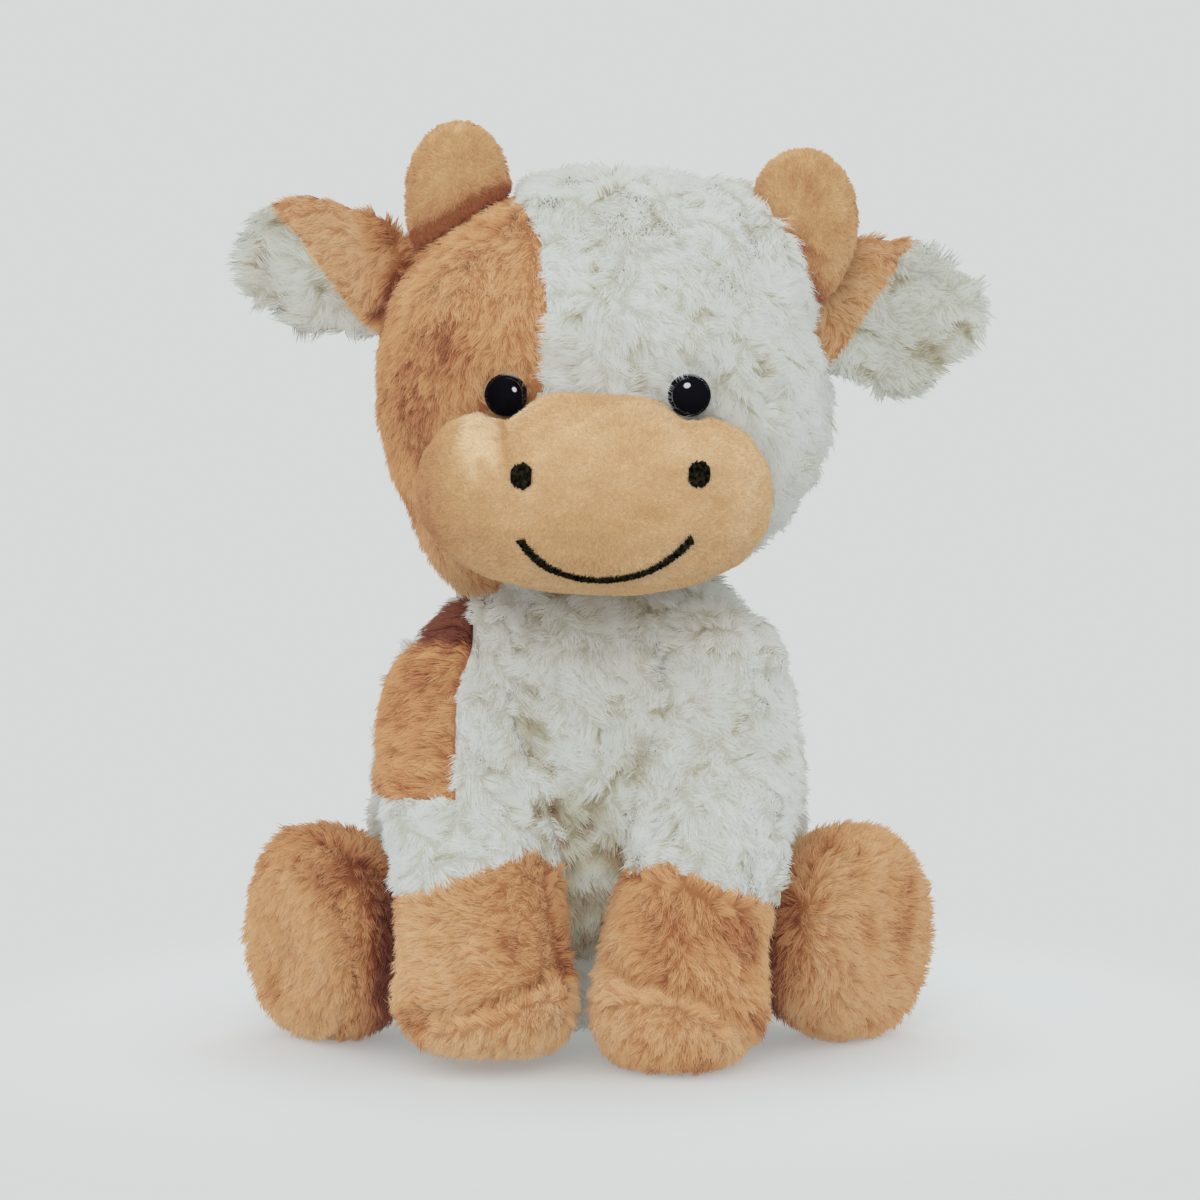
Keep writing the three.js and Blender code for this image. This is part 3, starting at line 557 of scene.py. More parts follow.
def grained_material(name, roughness, specular, size, stops):
    """A material whose colour varies by a fine grain between (place, colour) stops."""
    material, tree, shader = material_of(name, roughness, specular)
    fine = grain(tree, size)
    shades = [(place, colour(*shade)) for place, shade in stops]
    set_inputs(tree, shader, {"Base Color": add_ramp(tree, shades, fine)})
    return material, tree, shader, fine


# Each row runs from root to tip: the darker roots are painted shade, as the strands cast no shadows of their
# own.
TAN_FUR = fur_material("tan_fur", [
    [(66, 24, 22), (96, 46, 38), (124, 70, 56), (150, 96, 78)],
    [(134, 66, 44), (166, 98, 62), (190, 128, 84), (204, 150, 106)],
    [(186, 130, 86), (201, 151, 103), (211, 165, 116), (221, 182, 138)],
    [(199, 157, 116), (209, 171, 131), (219, 185, 147), (228, 201, 167)],
], 0.25, colour(255, 236, 214))
WHITE_FUR = fur_material("white_fur", [
    [(96, 74, 58), (130, 104, 80), (156, 132, 104), (176, 158, 132)],
    [(156, 150, 120), (172, 167, 140), (188, 185, 164), (200, 199, 184)],
    [(203, 204, 194), (207, 209, 200), (210, 212, 206), (213, 216, 213)],
    [(214, 216, 212), (217, 219, 217), (219, 222, 221), (222, 226, 227)],
], 0.15, colour(236, 244, 255))
NAP = fur_material("short_nap", [
    [(118, 50, 34), (140, 70, 48), (158, 90, 62), (172, 108, 76)],
    [(178, 126, 82), (190, 140, 96), (198, 150, 106), (204, 158, 114)],
    [(196, 156, 110), (206, 168, 122), (212, 176, 131), (217, 184, 140)],
    [(222, 194, 158), (228, 203, 168), (233, 211, 178), (238, 218, 188)],
], 0.3, colour(255, 240, 224))


def skin_material(name, shades):
    """Knitted backing that shows between the strands, a little darker than the fur: painted shade in the gaps.
    """
    material, tree, shader = material_of(name, 0.95, 0.1, 0.1)
    fine = grain(tree, 1400, 3.0)
    speck = add_ramp(tree, [(0.3, [0.86, 0.84, 0.82, 1]), (0.7, [1.0, 1.0, 1.0, 1])], fine)
    toned = by_tone(tree, [colour(*shade) for shade in shades])
    set_inputs(tree, shader, {"Base Color": mixed(tree, 1.0, toned, speck, "MULTIPLY")})
    add_bump(tree, shader, fine, 0.4, 0.0004)
    return material


# The backings are a little darker than the fur's tips: painted shade between the strands.
TAN_SKIN = skin_material("tan_backing", [(84, 36, 30), (146, 80, 52), (186, 130, 86), (202, 156, 113)])
WHITE_SKIN = skin_material(
    "white_backing", [(116, 96, 78), (168, 162, 136), (200, 201, 190), (210, 212, 206)]
)
NAP_SKIN = skin_material("nap_backing", [(150, 98, 64), (188, 140, 96), (208, 170, 124), (230, 206, 172)])


# Coats

def crease_shade_at(points):
    """Painted shade in short creases between the curls, 0 to 1."""
    line = falling(0.0, 0.26, np.abs(waves(points, 19, 31, 16)))
    return line * rising(0.0, 0.5, waves(points, 15, 32, 16))


def white_tone(root):
    # The white is darker in the creases between the curls: painted shade.
    return 0.86 + 0.05 * waves(root, 34, 5) - 0.46 * crease_shade_at(root)


def tan_tone(root):
    return 0.76 - 0.24 * rising(0.3, 1.4, waves(root, 24, 17)) + 0.05 * waves(root, 9, 18)


def pale_tone(root):
    return 0.14 + tan_tone(root)


def steady(*way):
    """A comb that lays the fur one way everywhere."""
    def comb(points, seam):
        return np.tile(way, (len(points), 1))
    return comb


def like(coat, **changes):
    return SimpleNamespace(**{**vars(coat), **changes})


# Coats: lengths in mm, density in strands for each square mm, turns in radians, tones and shares from 0 to 1
WHITE = SimpleNamespace(
    spacing=3.4, swing=1.2, swing_length=20, stray=0.4, rise=2.6, slide=4.2, gather=0.88, fray=0.62,
    least=0.55, roll=0.3, width=0.42, round_share=0.22, own=0.04, density=2.6, seed=11,
    comb=steady(0.0, 0.0, -1.0), tone=white_tone, lock_tone=0.04, speckle=0.012, gap_tone=0.05, mark_tone=0.0,
    marks=0.0, flecks=0.0, fleck_tone=0.0, seam_share=0.5, depth=0.3, fill=0.7, fur=WHITE_FUR, skin=WHITE_SKIN,
    slot="white_plush",
)
TAN = like(
    WHITE, spacing=2.1, swing=0.35, swing_length=18, stray=0.28, rise=2.5, slide=3.5, gather=0.8, fray=0.46,
    roll=0.4, width=0.29, round_share=0.2, own=0.1, density=4.4, seed=23, tone=tan_tone, lock_tone=0.07,
    speckle=0.07, gap_tone=0.1, mark_tone=0.2, marks=0.04, flecks=0.08, fleck_tone=0.32, fur=TAN_FUR,
    skin=TAN_SKIN, slot="tan_plush",
)
SHORT = like(
    TAN, spacing=1.6, swing=0.5, swing_length=30, stray=0.3, rise=0.7, slide=1.1, fray=0.14, least=0.6,
    roll=0.3, width=0.26, round_share=0.1, own=0.08, density=4.5, seed=37, lock_tone=0.03, speckle=0.035,
    gap_tone=0.03, mark_tone=0.08, marks=0.06, flecks=0.04, fleck_tone=0.12, seam_share=1.0, depth=0.1,
    fill=0.9, fur=NAP, skin=NAP_SKIN, slot="short_plush",
)
LUMP_HEIGHT = 1.2
LIFT_AT_JOIN = 1.2  # a form stands this far out where it meets its neighbours


def dressed(body, zones, hidden=(), sink=2.6, voxel=1.6, shape=None, rule=None, bare=None, trim=None, near=(),
            groove=1.0, seed=1):
    """Fabric and fur for one stuffed part. zones maps each visible node to its coat."""
    rng = np.random.default_rng(seed)
    form = form_of([*zones, *hidden], voxel)
    gaps = np.array([gap_to(node_trees(node), form.points) for node in zones]).T
    zone = gaps[form.quads].mean(1).argmin(1)
    centres = form.points[form.quads].mean(1)
    if rule:
        zone = rule(centres, unit(form.normals[form.quads].mean(1)), zone)
    form.seam = seam_gaps(form.points, centres, zone)
    if shape:
        form.points = shape(form)
    sunk = np.full(len(form.points), sink)
    if near:
        join = rising(0, 12, gap_to(node_trees(*near), form.points))
        sunk = (sunk + LIFT_AT_JOIN) * join - LIFT_AT_JOIN
    curly = np.zeros(len(form.points))
    for number, coat in enumerate(zones.values()):
        if coat.slot == "white_plush":
            curly[form.quads[zone == number].ravel()] = 1.0
    lumps = LUMP_HEIGHT * np.clip(waves(form.points, 15, 8, 16), -1.5, 1.5) * curly
    seam_dip = groove * falling(0, 2.5, form.seam)
    form.points = form.points + form.normals * (lumps - sunk - seam_dip)[:, None]
    form.normals = normals_of(form.points, form.quads)
    for number, (node, coat) in enumerate(zones.items()):
        nodes = [node, *hidden] if number == 0 else [node]
        clothe(node, form, np.flatnonzero(zone == number), body, coat, nodes, rng, bare, trim)
    return form


def slimmer_shoulder(points):
    """The right shoulder slopes more than the left one."""
    moved = points.copy()
    moved[:, 0] += 6.5 * rising(101, 124, points[:, 2]) * rising(30, 55, -points[:, 0])
    return moved


def torso_shape(form):
    """The belly's underside rises towards the front, between the paws."""
    points = slimmer_shoulder(form.points)
    front = rising(14, 40, -points[:, 1])
    low = falling(4, 40, points[:, 2])
    points[:, 2] += 20 * front * low
    points[:, 1] += 6 * front * low
    return points


def spot(points, x, z, wide, high):
    """1 at a place seen from the front, fading over a width and a height."""
    return np.exp(-((points[:, 0] - x) / wide) ** 2 - ((points[:, 2] - z) / high) ** 2)


def line_gap(points, start, end):
    """How far each point lies from a line seen from the front, and its share of the way along."""
    a, b = np.array(start), np.array(end)
    flat = points[:, [0, 2]]
    t = np.clip(((flat - a) @ (b - a)) / ((b - a) @ (b - a)), 0, 1)
    return np.linalg.norm(flat - a - t[:, None] * (b - a), axis=1), t


ARMS = [f"foreleg_{side}_sleeve" for side in SIDES] + ["foreleg_right_patch"]
arm_trees = node_trees(*ARMS[:2])


def fold_shade_at(root):
    """Painted shade, brown and olive, in the two folds between the chest and the forelegs, 0 to 1."""
    right, _ = line_gap(root, (-23.0, 104.0), (-19.0, 62.0))
    left, _ = line_gap(root, (8.5, 118.0), (10.5, 78.0))
    marks = rising(-0.2, 0.9, waves(root, 8, 81))
    return (bell(right, 4.5) + 0.55 * bell(left, 3.0)) * marks * (root[:, 1] < -25)


def sleeve_tone(root):
    # The sleeves darken in the folds by the chest: painted shade.
    return white_tone(root) - 0.5 * fold_shade_at(root)


def torso_tone(root):
    """Painted shade: olive in the folds by the arms, brown low down between the paws, and darker under the
    chin.
    """
    tone = sleeve_tone(root)
    front = np.flatnonzero((root[:, 1] < -25) & (root[:, 2] < 120))
    low = root[front]
    # Painted shade next to the forelegs.
    tone[front] -= 0.36 * bell(gap_to(arm_trees, low), 6) * rising(-0.4, 0.8, waves(low, 12, 43))
    # Painted shade between the paws, deepest near the floor.
    brown_shade = 0.4 + 0.6 * rising(-0.6, 1.0, waves(low, 12, 44)) + 0.5 * falling(20, 46, low[:, 2])
    tone[front] -= 0.74 * bell(low[:, 0] + 9, 18) * brown_shade * falling(54, 86, low[:, 2])
    # Painted shade in two small creases low on the chest.
    tone[front] -= 0.45 * spot(low, -16, 70, 6, 5) + 0.45 * spot(low, 7, 82, 5, 4)
    # Painted shade under the muzzle.
    under_chin_shade = rising(-0.6, 0.9, waves(root, 11, 82)) * (root[:, 1] < -10)
    return tone - 0.3 * rising(111, 124, root[:, 2]) * under_chin_shade


dressed(
    "torso", {"torso_skin": like(WHITE, tone=torso_tone), "seat_panel": like(WHITE, density=1.2)},
    ["torso_filling", "pellet_bag"], shape=torso_shape, near=ARMS, seed=3,
)

muzzle_form = form_of(["muzzle_cover", "muzzle_filling"], 1.4)
HORNS = {side: form_of([f"horn_{side}_cover", f"horn_{side}_filling"], 1.0, 60) for side in SIDES}
blockers = [tree_of(form) for form in (muzzle_form, *HORNS.values())]
EYE_RADII = (6.2, 4.9, 6.2)
EYES = {}
for side in SIDES:
    low, high = (np.array(corner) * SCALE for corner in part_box(f"eye_{side}"))
    EYES[side] = np.array([(low[0] + high[0]) / 2, low[1] + 4.8, (low[2] + high[2]) / 2])


def off_face(points):
    """Head fur doesn't grow under the muzzle, the horns or the eyes."""
    keep = np.ones(len(points), bool)
    for tree in blockers:
        keep &= signed_distance(tree, points) > -0.6
    for eye in EYES.values():
        away = np.hypot(points[:, 0] - eye[0], points[:, 2] - eye[2])
        keep &= (away > 4.8) | (points[:, 1] > 0)
    return keep


def clear_of_face(tip):
    """Tips bend off the muzzle and the horns and stay round the eyes."""
    tip = tip.copy()
    for tree in blockers:
        for i, point in enumerate(tip.tolist()):
            place, normal, _, _ = tree.find_nearest(point, 6.0)
            if place is not None and (Vector(point) - place).dot(normal) < 0.3:
                tip[i] = np.array(place) + np.array(normal) * 0.5
    for eye in EYES.values():
        away = tip[:, [0, 2]] - eye[[0, 2]]
        far = np.linalg.norm(away, axis=1, keepdims=True)
        rim = np.where((away[:, :1] > 0) == (eye[0] < 0), 4.9, 5.6)
        push = (far < rim)[:, 0] & (tip[:, 1] < -20)
        tip[np.ix_(push, [0, 2])] = eye[[0, 2]] + (away / far * rim)[push]
        far = np.maximum(far, rim)[:, 0]
        over = (far < 6.3) & (tip[:, 1] < -20)
        dome = eye[1] - EYE_RADII[1] * np.sqrt(np.maximum(0, 1 - (far / EYE_RADII[0]) ** 2))
        tip[over, 1] = np.minimum(tip[over, 1], dome[over] - 0.4)
    return tip


down_face = steady(0.0, -0.1, -1.0)


def cheek_comb(points, seam):
    """Down the face, and outward low on the cheek."""
    lean = down_face(points, seam)
    lean[:, 0] = 0.75 * falling(165, 205, points[:, 2]) + 0.25 * falling(0, 7, seam)
    return lean


def forehead_comb(points, seam):
    lean = down_face(points, seam)
    lean[:, 0] = points[:, 0] / 60
    return lean


ear_trees = node_trees(*(f"ear_{side}_{panel}" for side in SIDES for panel in ("inner", "outer")))
horn_trees = [tree_of(form) for form in HORNS.values()]


def head_tone(root):
    # Painted shade round the ears' roots and the horns' feet.
    tone = tan_tone(root) - 0.45 * close_to(ear_trees, root, 4) - 0.3 * close_to(horn_trees, root, 4)
    dashed = rising(-0.1, 0.8, waves(root, 5, 61))
    tone -= (0.2 + 0.2 * dashed) * spot(root, -47, 204, 12, 9)
    return tone - (0.14 + 0.22 * dashed) * spot(root, -62, 186, 10, 17) + 0.08 * spot(root, -38, 224, 16, 10)


def head_shape(form):
    """A fuller right cheek, a higher crown, and fur that stands up round the left horn's foot."""
    points = form.points.copy()
    x, y, z = points.T  # views, so that each step starts from the last one's result
    cheek = np.exp(-((x + 40) / 18) ** 2 - ((y + 8) / 26) ** 2) * falling(150, 180, z)
    z -= 11 * cheek
    x -= 5 * cheek
    foot = np.exp(-((x - 52) ** 2 + (y + 3) ** 2 + (z - 224) ** 2) / 200)
    points += foot[:, None] * (2.5 * form.normals + [-1.0, -5.0, 6.0])
    crown = 4.6 * rising(222, 250, z) * rising(-36, -18, x)
    x -= 3.2 * spot(points, 66, 211, 12, 13)
    z += crown + 5.0 * spot(points, 40, 240, 15, 13)
    return points


dressed(
    "head",
    {
        "head_tan_panel": like(TAN, comb=cheek_comb, tone=head_tone),
        "head_white_panel": like(WHITE, comb=forehead_comb),
    },
    ["head_filling"], shape=head_shape, bare=off_face, trim=clear_of_face, groove=0.6, seed=5,
)

PAW_X = {"right": -37.1, "left": 21.9}


def toe_crease(side, x):
    share = np.clip((x + 7) / 45, 0, 1.2)
    return 14 + 0.315 * (x + 54.9) if side == "right" else 29 - 9 * share ** 2 - 4 * share ** 6


def foreleg_shape(side, form):
    """A groove over the toes and a rounded sole; the right paw tips up, and the left one leans in."""
    groove = bell(form.points[:, 2] - toe_crease(side, form.points[:, 0]), 4.2)
    front = rising(0.1, 0.6, -form.normals[:, 1])
    points = form.points - form.normals * (4.6 * groove * front)[:, None]
    x, y, z = points.T
    low = falling(0, 62, z)
    away = x - PAW_X[side]
    corner = (1 - np.clip(z / 17, 0, 1)) ** 2
    outer = corner * (away * SIDES[side] > 0)
    x[:] = PAW_X[side] + away * (1 - 0.1 * corner - 0.22 * outer)
    forward = y + 60
    y[:] = np.where(forward < 0, -60 + forward * (1 - 0.12 * corner), y)
    if side == "right":
        x += np.sign(away) * 1.3 * low
        z += 4.2 * falling(0, 34, z) * rising(20, 60, -y)
    else:
        x -= 3.0 * falling(20, 70, z)
        x += 3.6 * bell(z - 56, 16) * np.clip(-away / 20, 0, 1)
    return slimmer_shoulder(points)


def paw_comb(side, points, seam):
    x = (points[:, 0] - PAW_X[side]) / 25
    z = points[:, 2]
    flat = 0 * x
    upper = rising(-2, 5, z - toe_crease(side, points[:, 0]))[:, None]
    climb = falling(1, 9, seam) * (z > 32) * falling(0.5, 0.9, np.abs(x))
    if side == "right":
        top = [flat - 1, flat - 0.3, 1.1 * climb - 0.15]
        toe = [0.3 * x - 0.55, flat - 0.2, flat - 1]
    else:
        top = [1.1 * x, flat - 0.2, 1.7 * climb - 0.75]
        toe = [0.7 * x, flat - 0.2, flat - 1]
    return np.stack(top, 1) * upper + np.stack(toe, 1) * (1 - upper)


def paw_tone(side, root):
    hind_trees = node_trees(f"hindleg_{side}_foot", f"hindleg_{side}_sole")
    x, y, z = root.T
    past = z - toe_crease(side, x)
    low = z < 60
    contact_shade = np.zeros(len(root))
    contact_shade[low] = close_to(hind_trees, root[low], 8)
    # Painted shade in the toe crease and where the paw touches the hind foot.
    crease = bell(past, 2.6) * (y < -60)
    shown = tan_tone(root) - 0.2 * crease + 0.1 * falling(-4, 3, past) - 0.55 * contact_shade
    if side == "right":
        return shown + 0.12 * rising(-30, -52, x) - 0.1 * spot(root, -22, 48, 12, 14)
    shown = shown - 0.2 * spot(root, 20, 42, 14, 9) - 0.2 * spot(root, 14, 4, 20, 6)
    return shown + 0.1 * spot(root, -2, 34, 7, 16)


def patch_tone(root):
    # The patch darkens to its top, where it runs under the chin: painted shade.
    return tan_tone(root) - 0.08 - 0.85 * rising(115, 122, root[:, 2] + 1.5 * waves(root, 8, 3))


def foot_comb(side, points, seam):
    if side == "left":
        return points - [52.0, -45.0, 46.0]
    return 0.012 * (points - [-80.0, -30.0, 30.0]) + [-0.3, -0.1, -1.0]


HIPS = {side: JOINTS[f"hindleg_{side}_splay"] for side in SIDES}
LEG_WAYS = {side: np.array([0.829 * sign, -0.559, 0.0]) for side, sign in SIDES.items()}
SOLE_SEAM = 39.0
SEAM_LEAN = 0.12


def along_leg(side, points):
    return (points - HIPS[side]) @ LEG_WAYS[side]


def seam_place(side, height):
    """How far along the leg its sole seam lies; the right one leans out to its top."""
    return SOLE_SEAM + SEAM_LEAN * (height - 18) * (side == "right")


def foot_rule(side, centre, normal, zone):
    past = along_leg(side, centre) > seam_place(side, centre[:, 2])
    return np.where(zone > 0, np.where(past, 2, 1), zone)


def foot_shape(side, form):
    along = along_leg(side, form.points)
    grown = form.points + form.normals * 1.2 * rising(8, 24, along)[:, None]
    grown[:, 0] += SIDES[side] * 2.2 * rising(20, 55, along)
    grown[:, 2] = np.maximum(grown[:, 2], 1.3)
    return grown


def foot_tone(side, root):
    """Paler on the sole, redder behind its seam, with painted shade where it meets the foreleg."""
    fore_trees = node_trees(f"foreleg_{side}_paw", f"foreleg_{side}_sleeve")
    redder, edge = (0.26, -67.0) if side == "right" else (0.12, 47.0)
    x, y, z = root.T
    past = along_leg(side, root) - seam_place(side, z)
    seam = bell(past, 1.6) * (side == "right")
    shaded = bell(x - edge, 4) * falling(44, 56, z) * (y < -12)
    # Painted shade where the foot touches the foreleg.
    contact_shade = np.maximum(close_to(fore_trees, root, 13), shaded)
    return pale_tone(root) - 0.09 - falling(-5, 1, past) * redder - 0.14 * seam - 0.6 * contact_shade


def foreleg_rule(side, centre, normal, zone):
    """The patch ends straight across the sleeve; each paw's seam climbs and then drops on its inner side."""
    x, y, z = centre.T
    if side == "right":
        past = (z < 71 - 0.12 * y) | (z > 120 + 1.32 * (x + 64))
        zone = np.where((zone == 2) & past, 1, zone)
        top = np.minimum(48.5 + 0.336 * (x + 65.4), 61.3 - 1.42 * (x + 19.75))
    else:
        top = 59.5 - 0.36 * np.maximum(x - 14, 0) - 0.03 * np.maximum(14 - x, 0) ** 2
    return np.where(z < top, 0, np.maximum(zone, 1))


HIND_FORMS = {}
for side, sign in SIDES.items():
    fore, hind, is_right = f"foreleg_{side}", f"hindleg_{side}", side == "right"
    zones = {
        f"{fore}_paw": like(TAN, comb=partial(paw_comb, side), tone=partial(paw_tone, side)),
        f"{fore}_sleeve": like(WHITE, tone=sleeve_tone),
    }
    if is_right:
        zones["foreleg_right_patch"] = like(
            TAN, comb=steady(-1.0, -0.1, -0.15), tone=patch_tone, slide=4.2, rise=2.4, seam_share=0.6
        )
    dressed(
        fore, zones, [f"{fore}_filling"], shape=partial(foreleg_shape, side), near=["torso_skin"],
        rule=partial(foreleg_rule, side), seed=7 + int(sign),
    )
    foot = like(
        TAN, comb=partial(foot_comb, side), tone=partial(foot_tone, side), rise=3.2,
        seam_share=0.35 if is_right else 0.8,
    )
    HIND_FORMS[side] = dressed(
        hind, {f"{hind}_thigh": WHITE, f"{hind}_foot": foot, f"{hind}_sole": foot}, [f"{hind}_filling"],
        sink=1.2, groove=1.8 if is_right else 0.6, shape=partial(foot_shape, side),
        rule=partial(foot_rule, side), seed=17 + int(sign),
    )

EAR_ROOTS = {side: JOINTS[f"ear_{side}_flap"] for side in SIDES}


def ear_tone(side, root):
    along = np.abs(root[:, 0] - EAR_ROOTS[side][0])
    # Painted shade near the root, where the ear meets the head.
    shown = pale_tone(root) - 0.12 * falling(4, 13, along)
    gap, _ = line_gap(root, (-69.5, 214.8), (-61.0, 231.7))
    return shown - 0.6 * bell(gap, 2.6) if side == "right" else shown


def ear_comb(side, droop, points, seam):
    return unit(points - EAR_ROOTS[side]) + [0.0, 0.0, -droop]


def ear_rule(side, centre, normal, zone):
    """On the front the tan lining fills the upper part, above a line that slants away from the head."""
    x, z = centre[:, 0], centre[:, 2]
    tan = z + 1.1 * x > 132.5 if side == "right" else z > 206 + 1.33 * (x - 68.6)
    return np.where(normal[:, 1] < 0.1, np.where(tan, 0, 1), zone)


def ear_shape(side, form):
    """Fuller above and below its long axis, most of all near the head; the left one narrows to its tip."""
    root = EAR_ROOTS[side]
    away = form.points - root
    far = away[np.abs(away[:, 0]).argmax()]
    axis = far / np.linalg.norm(far)
    up = unit(np.cross(axis, [0.0, 1.0, 0.0]))
    up = up * np.sign(up[2])
    along, across = away @ axis, away @ up
    middle = np.median(across)
    high = across > middle
    grow = 0.2 + 0.38 * falling(4, 24, along) * high
    if side == "left":
        grow = grow - 0.34 * rising(24, 44, along)
    return form.points + (grow * (across - middle))[:, None] * up


for side, sign in SIDES.items():
    lining = like(TAN, comb=partial(ear_comb, side, 0.9), tone=partial(ear_tone, side), slide=4.0, rise=2.0)
    outside = like(
        WHITE, comb=partial(ear_comb, side, 0.3), tone=lambda root: white_tone(root) - 0.18, swing=0.6,
        rise=2.4, slide=5.2 if side == "right" else 4.0,
    )
    dressed(
        f"ear_{side}", {f"ear_{side}_inner": lining, f"ear_{side}_outer": outside}, sink=1.2, voxel=1.2,
        rule=partial(ear_rule, side), shape=partial(ear_shape, side), groove=0.4, seed=27 + int(sign),
    )

dressed(
    "tail", {"tail_tube": like(WHITE, rise=2.0, slide=4.0), "tail_tuft": like(TAN, rise=2.0)},
    sink=1.4, voxel=1.0, seed=41,
)


# Short nap: muzzle and horns

def add_nap(part, form, tone, middle, seed, **changes):
    """Short nap over a whole form of the head, combed away from a middle."""
    coat = like(SHORT, tone=tone, comb=partial(round_comb, middle), **changes)
    form.seam = np.full(len(form.points), NO_SEAM)
    nodes = [f"{part}_cover", f"{part}_filling"]
    clothe(nodes[0], form, np.arange(len(form.quads)), "head", coat, nodes, np.random.default_rng(seed))


def valley(points, start, end, width):
    """1 on the line between two points given by x and z, fading across it and along it."""
    away, t = line_gap(points, start, end)
    return bell(away, width) * (1 - 0.8 * t)


def round_comb(middle, points, seam):
    """Away from the middle of the front, so that the nap lies back at every edge."""
    return (points - middle) * [1.0, 0.0, 1.0] + [0.0, 6.0, -4.0]


def dimple_at(points):
    front = points[:, 1] < -50
    right = valley(points, (-32.7, 189.0), (-28.9, 172.0), 2.6)
    left = valley(points, (21.5, 191.0), (16.0, 180.0), 3.0)
    return (right + 0.45 * left) * front


def muzzle_tone(points):
    x, y, z = points.T
    # Painted highlight: a pale cream patch beside the right eye's dimple.
    pale = spot(points, -38, 179, 6, 8) * (y < -40) * (1 + 0.35 * waves(points, 7, 53))
    fold_shade_line = valley(points, (-32.7, 189.0), (-28.9, 172.0), 1.3) * (y < -40)
    edge = spot(points, 37, 162, 5, 16) * (y < -30)
    low = falling(-45, -20, x) * falling(150, 170, z)
    streaks = 0.03 * waves(points * [0.45, 1, 1.5], 7, 55) + 0.04 * waves(points, 30, 51)
    # Painted light: paler towards the top.
    tone = 0.69 + 0.12 * rising(140, 188, z) + 0.3 * pale + 0.1 * edge - 0.1 * low + streaks
    # Painted shade: darker at the right end, in the dimples and along the fold line.
    return tone - 0.34 * falling(-56, -38, x) - 0.1 * dimple_at(points) - 0.3 * fold_shade_line


head_trees = node_trees("head_tan_panel", "head_white_panel")


def horn_tone(points):
    tone = 0.58 + 0.07 * waves(points, 16, 52) + 0.05 * rising(240, 262, points[:, 2])
    tone += 0.06 * waves(points * [1.2, 1, 0.5], 5, 54)
    # Painted shade at the horn's foot, next to the head, with a darker band along it.
    near = close_to(head_trees, points, 14)
    right, _ = line_gap(points, (-60.0, 237.5), (-34.0, 250.5))
    left, _ = line_gap(points, (42.0, 243.0), (62.0, 231.0))
    foot_shade_band = bell(np.minimum(right / 2.8, left / 1.6), 1.0) * (points[:, 1] < 6)
    tone -= 0.36 * foot_shade_band * (0.85 + 0.3 * waves(points, 5, 56))
    weaker = 0.35 * rising(-30, 10, points[:, 0])
    return tone - (1 - weaker) * near * (0.16 + 0.75 * near ** 3)


lift = 0.4 - 2.2 * dimple_at(muzzle_form.points)
muzzle_form.points = muzzle_form.points + muzzle_form.normals * lift[:, None]
x, _, z = muzzle_form.points.T
for place, depth in ((-31.1, 4.6), (21.1, 2.8)):
    z -= depth * bell(x - place, 7.5) * rising(168, 190, z)
muzzle_form.normals = normals_of(muzzle_form.points, muzzle_form.quads)
muzzle_tree = tree_of(muzzle_form)
add_nap("muzzle", muzzle_form, muzzle_tone, [-5.6, -80.0, 164.0], seed=61)
for side in SIDES:
    add_nap(
        f"horn_{side}", HORNS[side], horn_tone, HORNS[side].points.mean(0), seed=63, rise=0.9, slide=1.5,
        speckle=0.06, flecks=0.09, fleck_tone=0.18,
    )


# Threads: the smile, the nostrils and the seams of the soles

TUBE_SIDES = 6
TUBE_ENDS = 0.55  # the share of the radius at both ends


def tube(points, radius):
    """A thread along a line of points, a little thinner at both ends."""
    points = np.asarray(points, float)
    count = len(points)
    along = unit(np.gradient(points, axis=0))
    first = unit(np.cross(along, [0.31, 0.52, 0.79]))
    second = np.cross(along, first)
    taper = np.ones(count)
    taper[[0, -1]] = TUBE_ENDS
    turn = np.arange(TUBE_SIDES) * 2 * np.pi / TUBE_SIDES
    ring = first[:, None] * np.cos(turn)[None, :, None] + second[:, None] * np.sin(turn)[None, :, None]
    shell = (points[:, None] + radius * taper[:, None, None] * ring).reshape(-1, 3)
    poles = np.array([points[0] - along[0] * radius * 0.4, points[-1] + along[-1] * radius * 0.4])
    return np.concatenate([shell, poles]), shell_faces(count, TUBE_SIDES)


def thread_piece(name, tubes, body, material, nodes=()):
    faces, start = [], 0
    for shell, tube_faces in tubes:
        faces += [[start + v for v in face] for face in tube_faces]
        start += len(shell)
    obj = mesh_of_faces(name, np.concatenate([shell for shell, _ in tubes]), faces)
    place_piece(obj, material, body, nodes)


def on_muzzle(x, z, lift):
    """The place on the front of the muzzle at an x and z, lifted off it a little."""
    place, normal, _, _ = muzzle_tree.ray_cast((x, -200.0, z), (0.0, 1.0, 0.0))
    return np.array(place) + np.array(normal) * lift


def muzzle_stitch(ends, lifts, radius):
    """A stitch through places given by x and z, each lifted by its own amount."""
    return tube([on_muzzle(x, z, lift + 0.25) for (x, z), lift in zip(ends, lifts)], radius)


def thread_material(name, base, pale):
    material, tree, shader, fine = grained_material(name, 0.6, 0.12, 900, [(0.35, base), (0.7, pale)])
    add_bump(tree, shader, fine, 0.5, 0.0003)
    return material


DARK_THREAD = thread_material("dark_thread", (8, 7, 4), (52, 46, 26))
SEAM_THREAD = thread_material("seam_thread", (140, 86, 58), (190, 130, 92))
threads = np.random.default_rng(71)

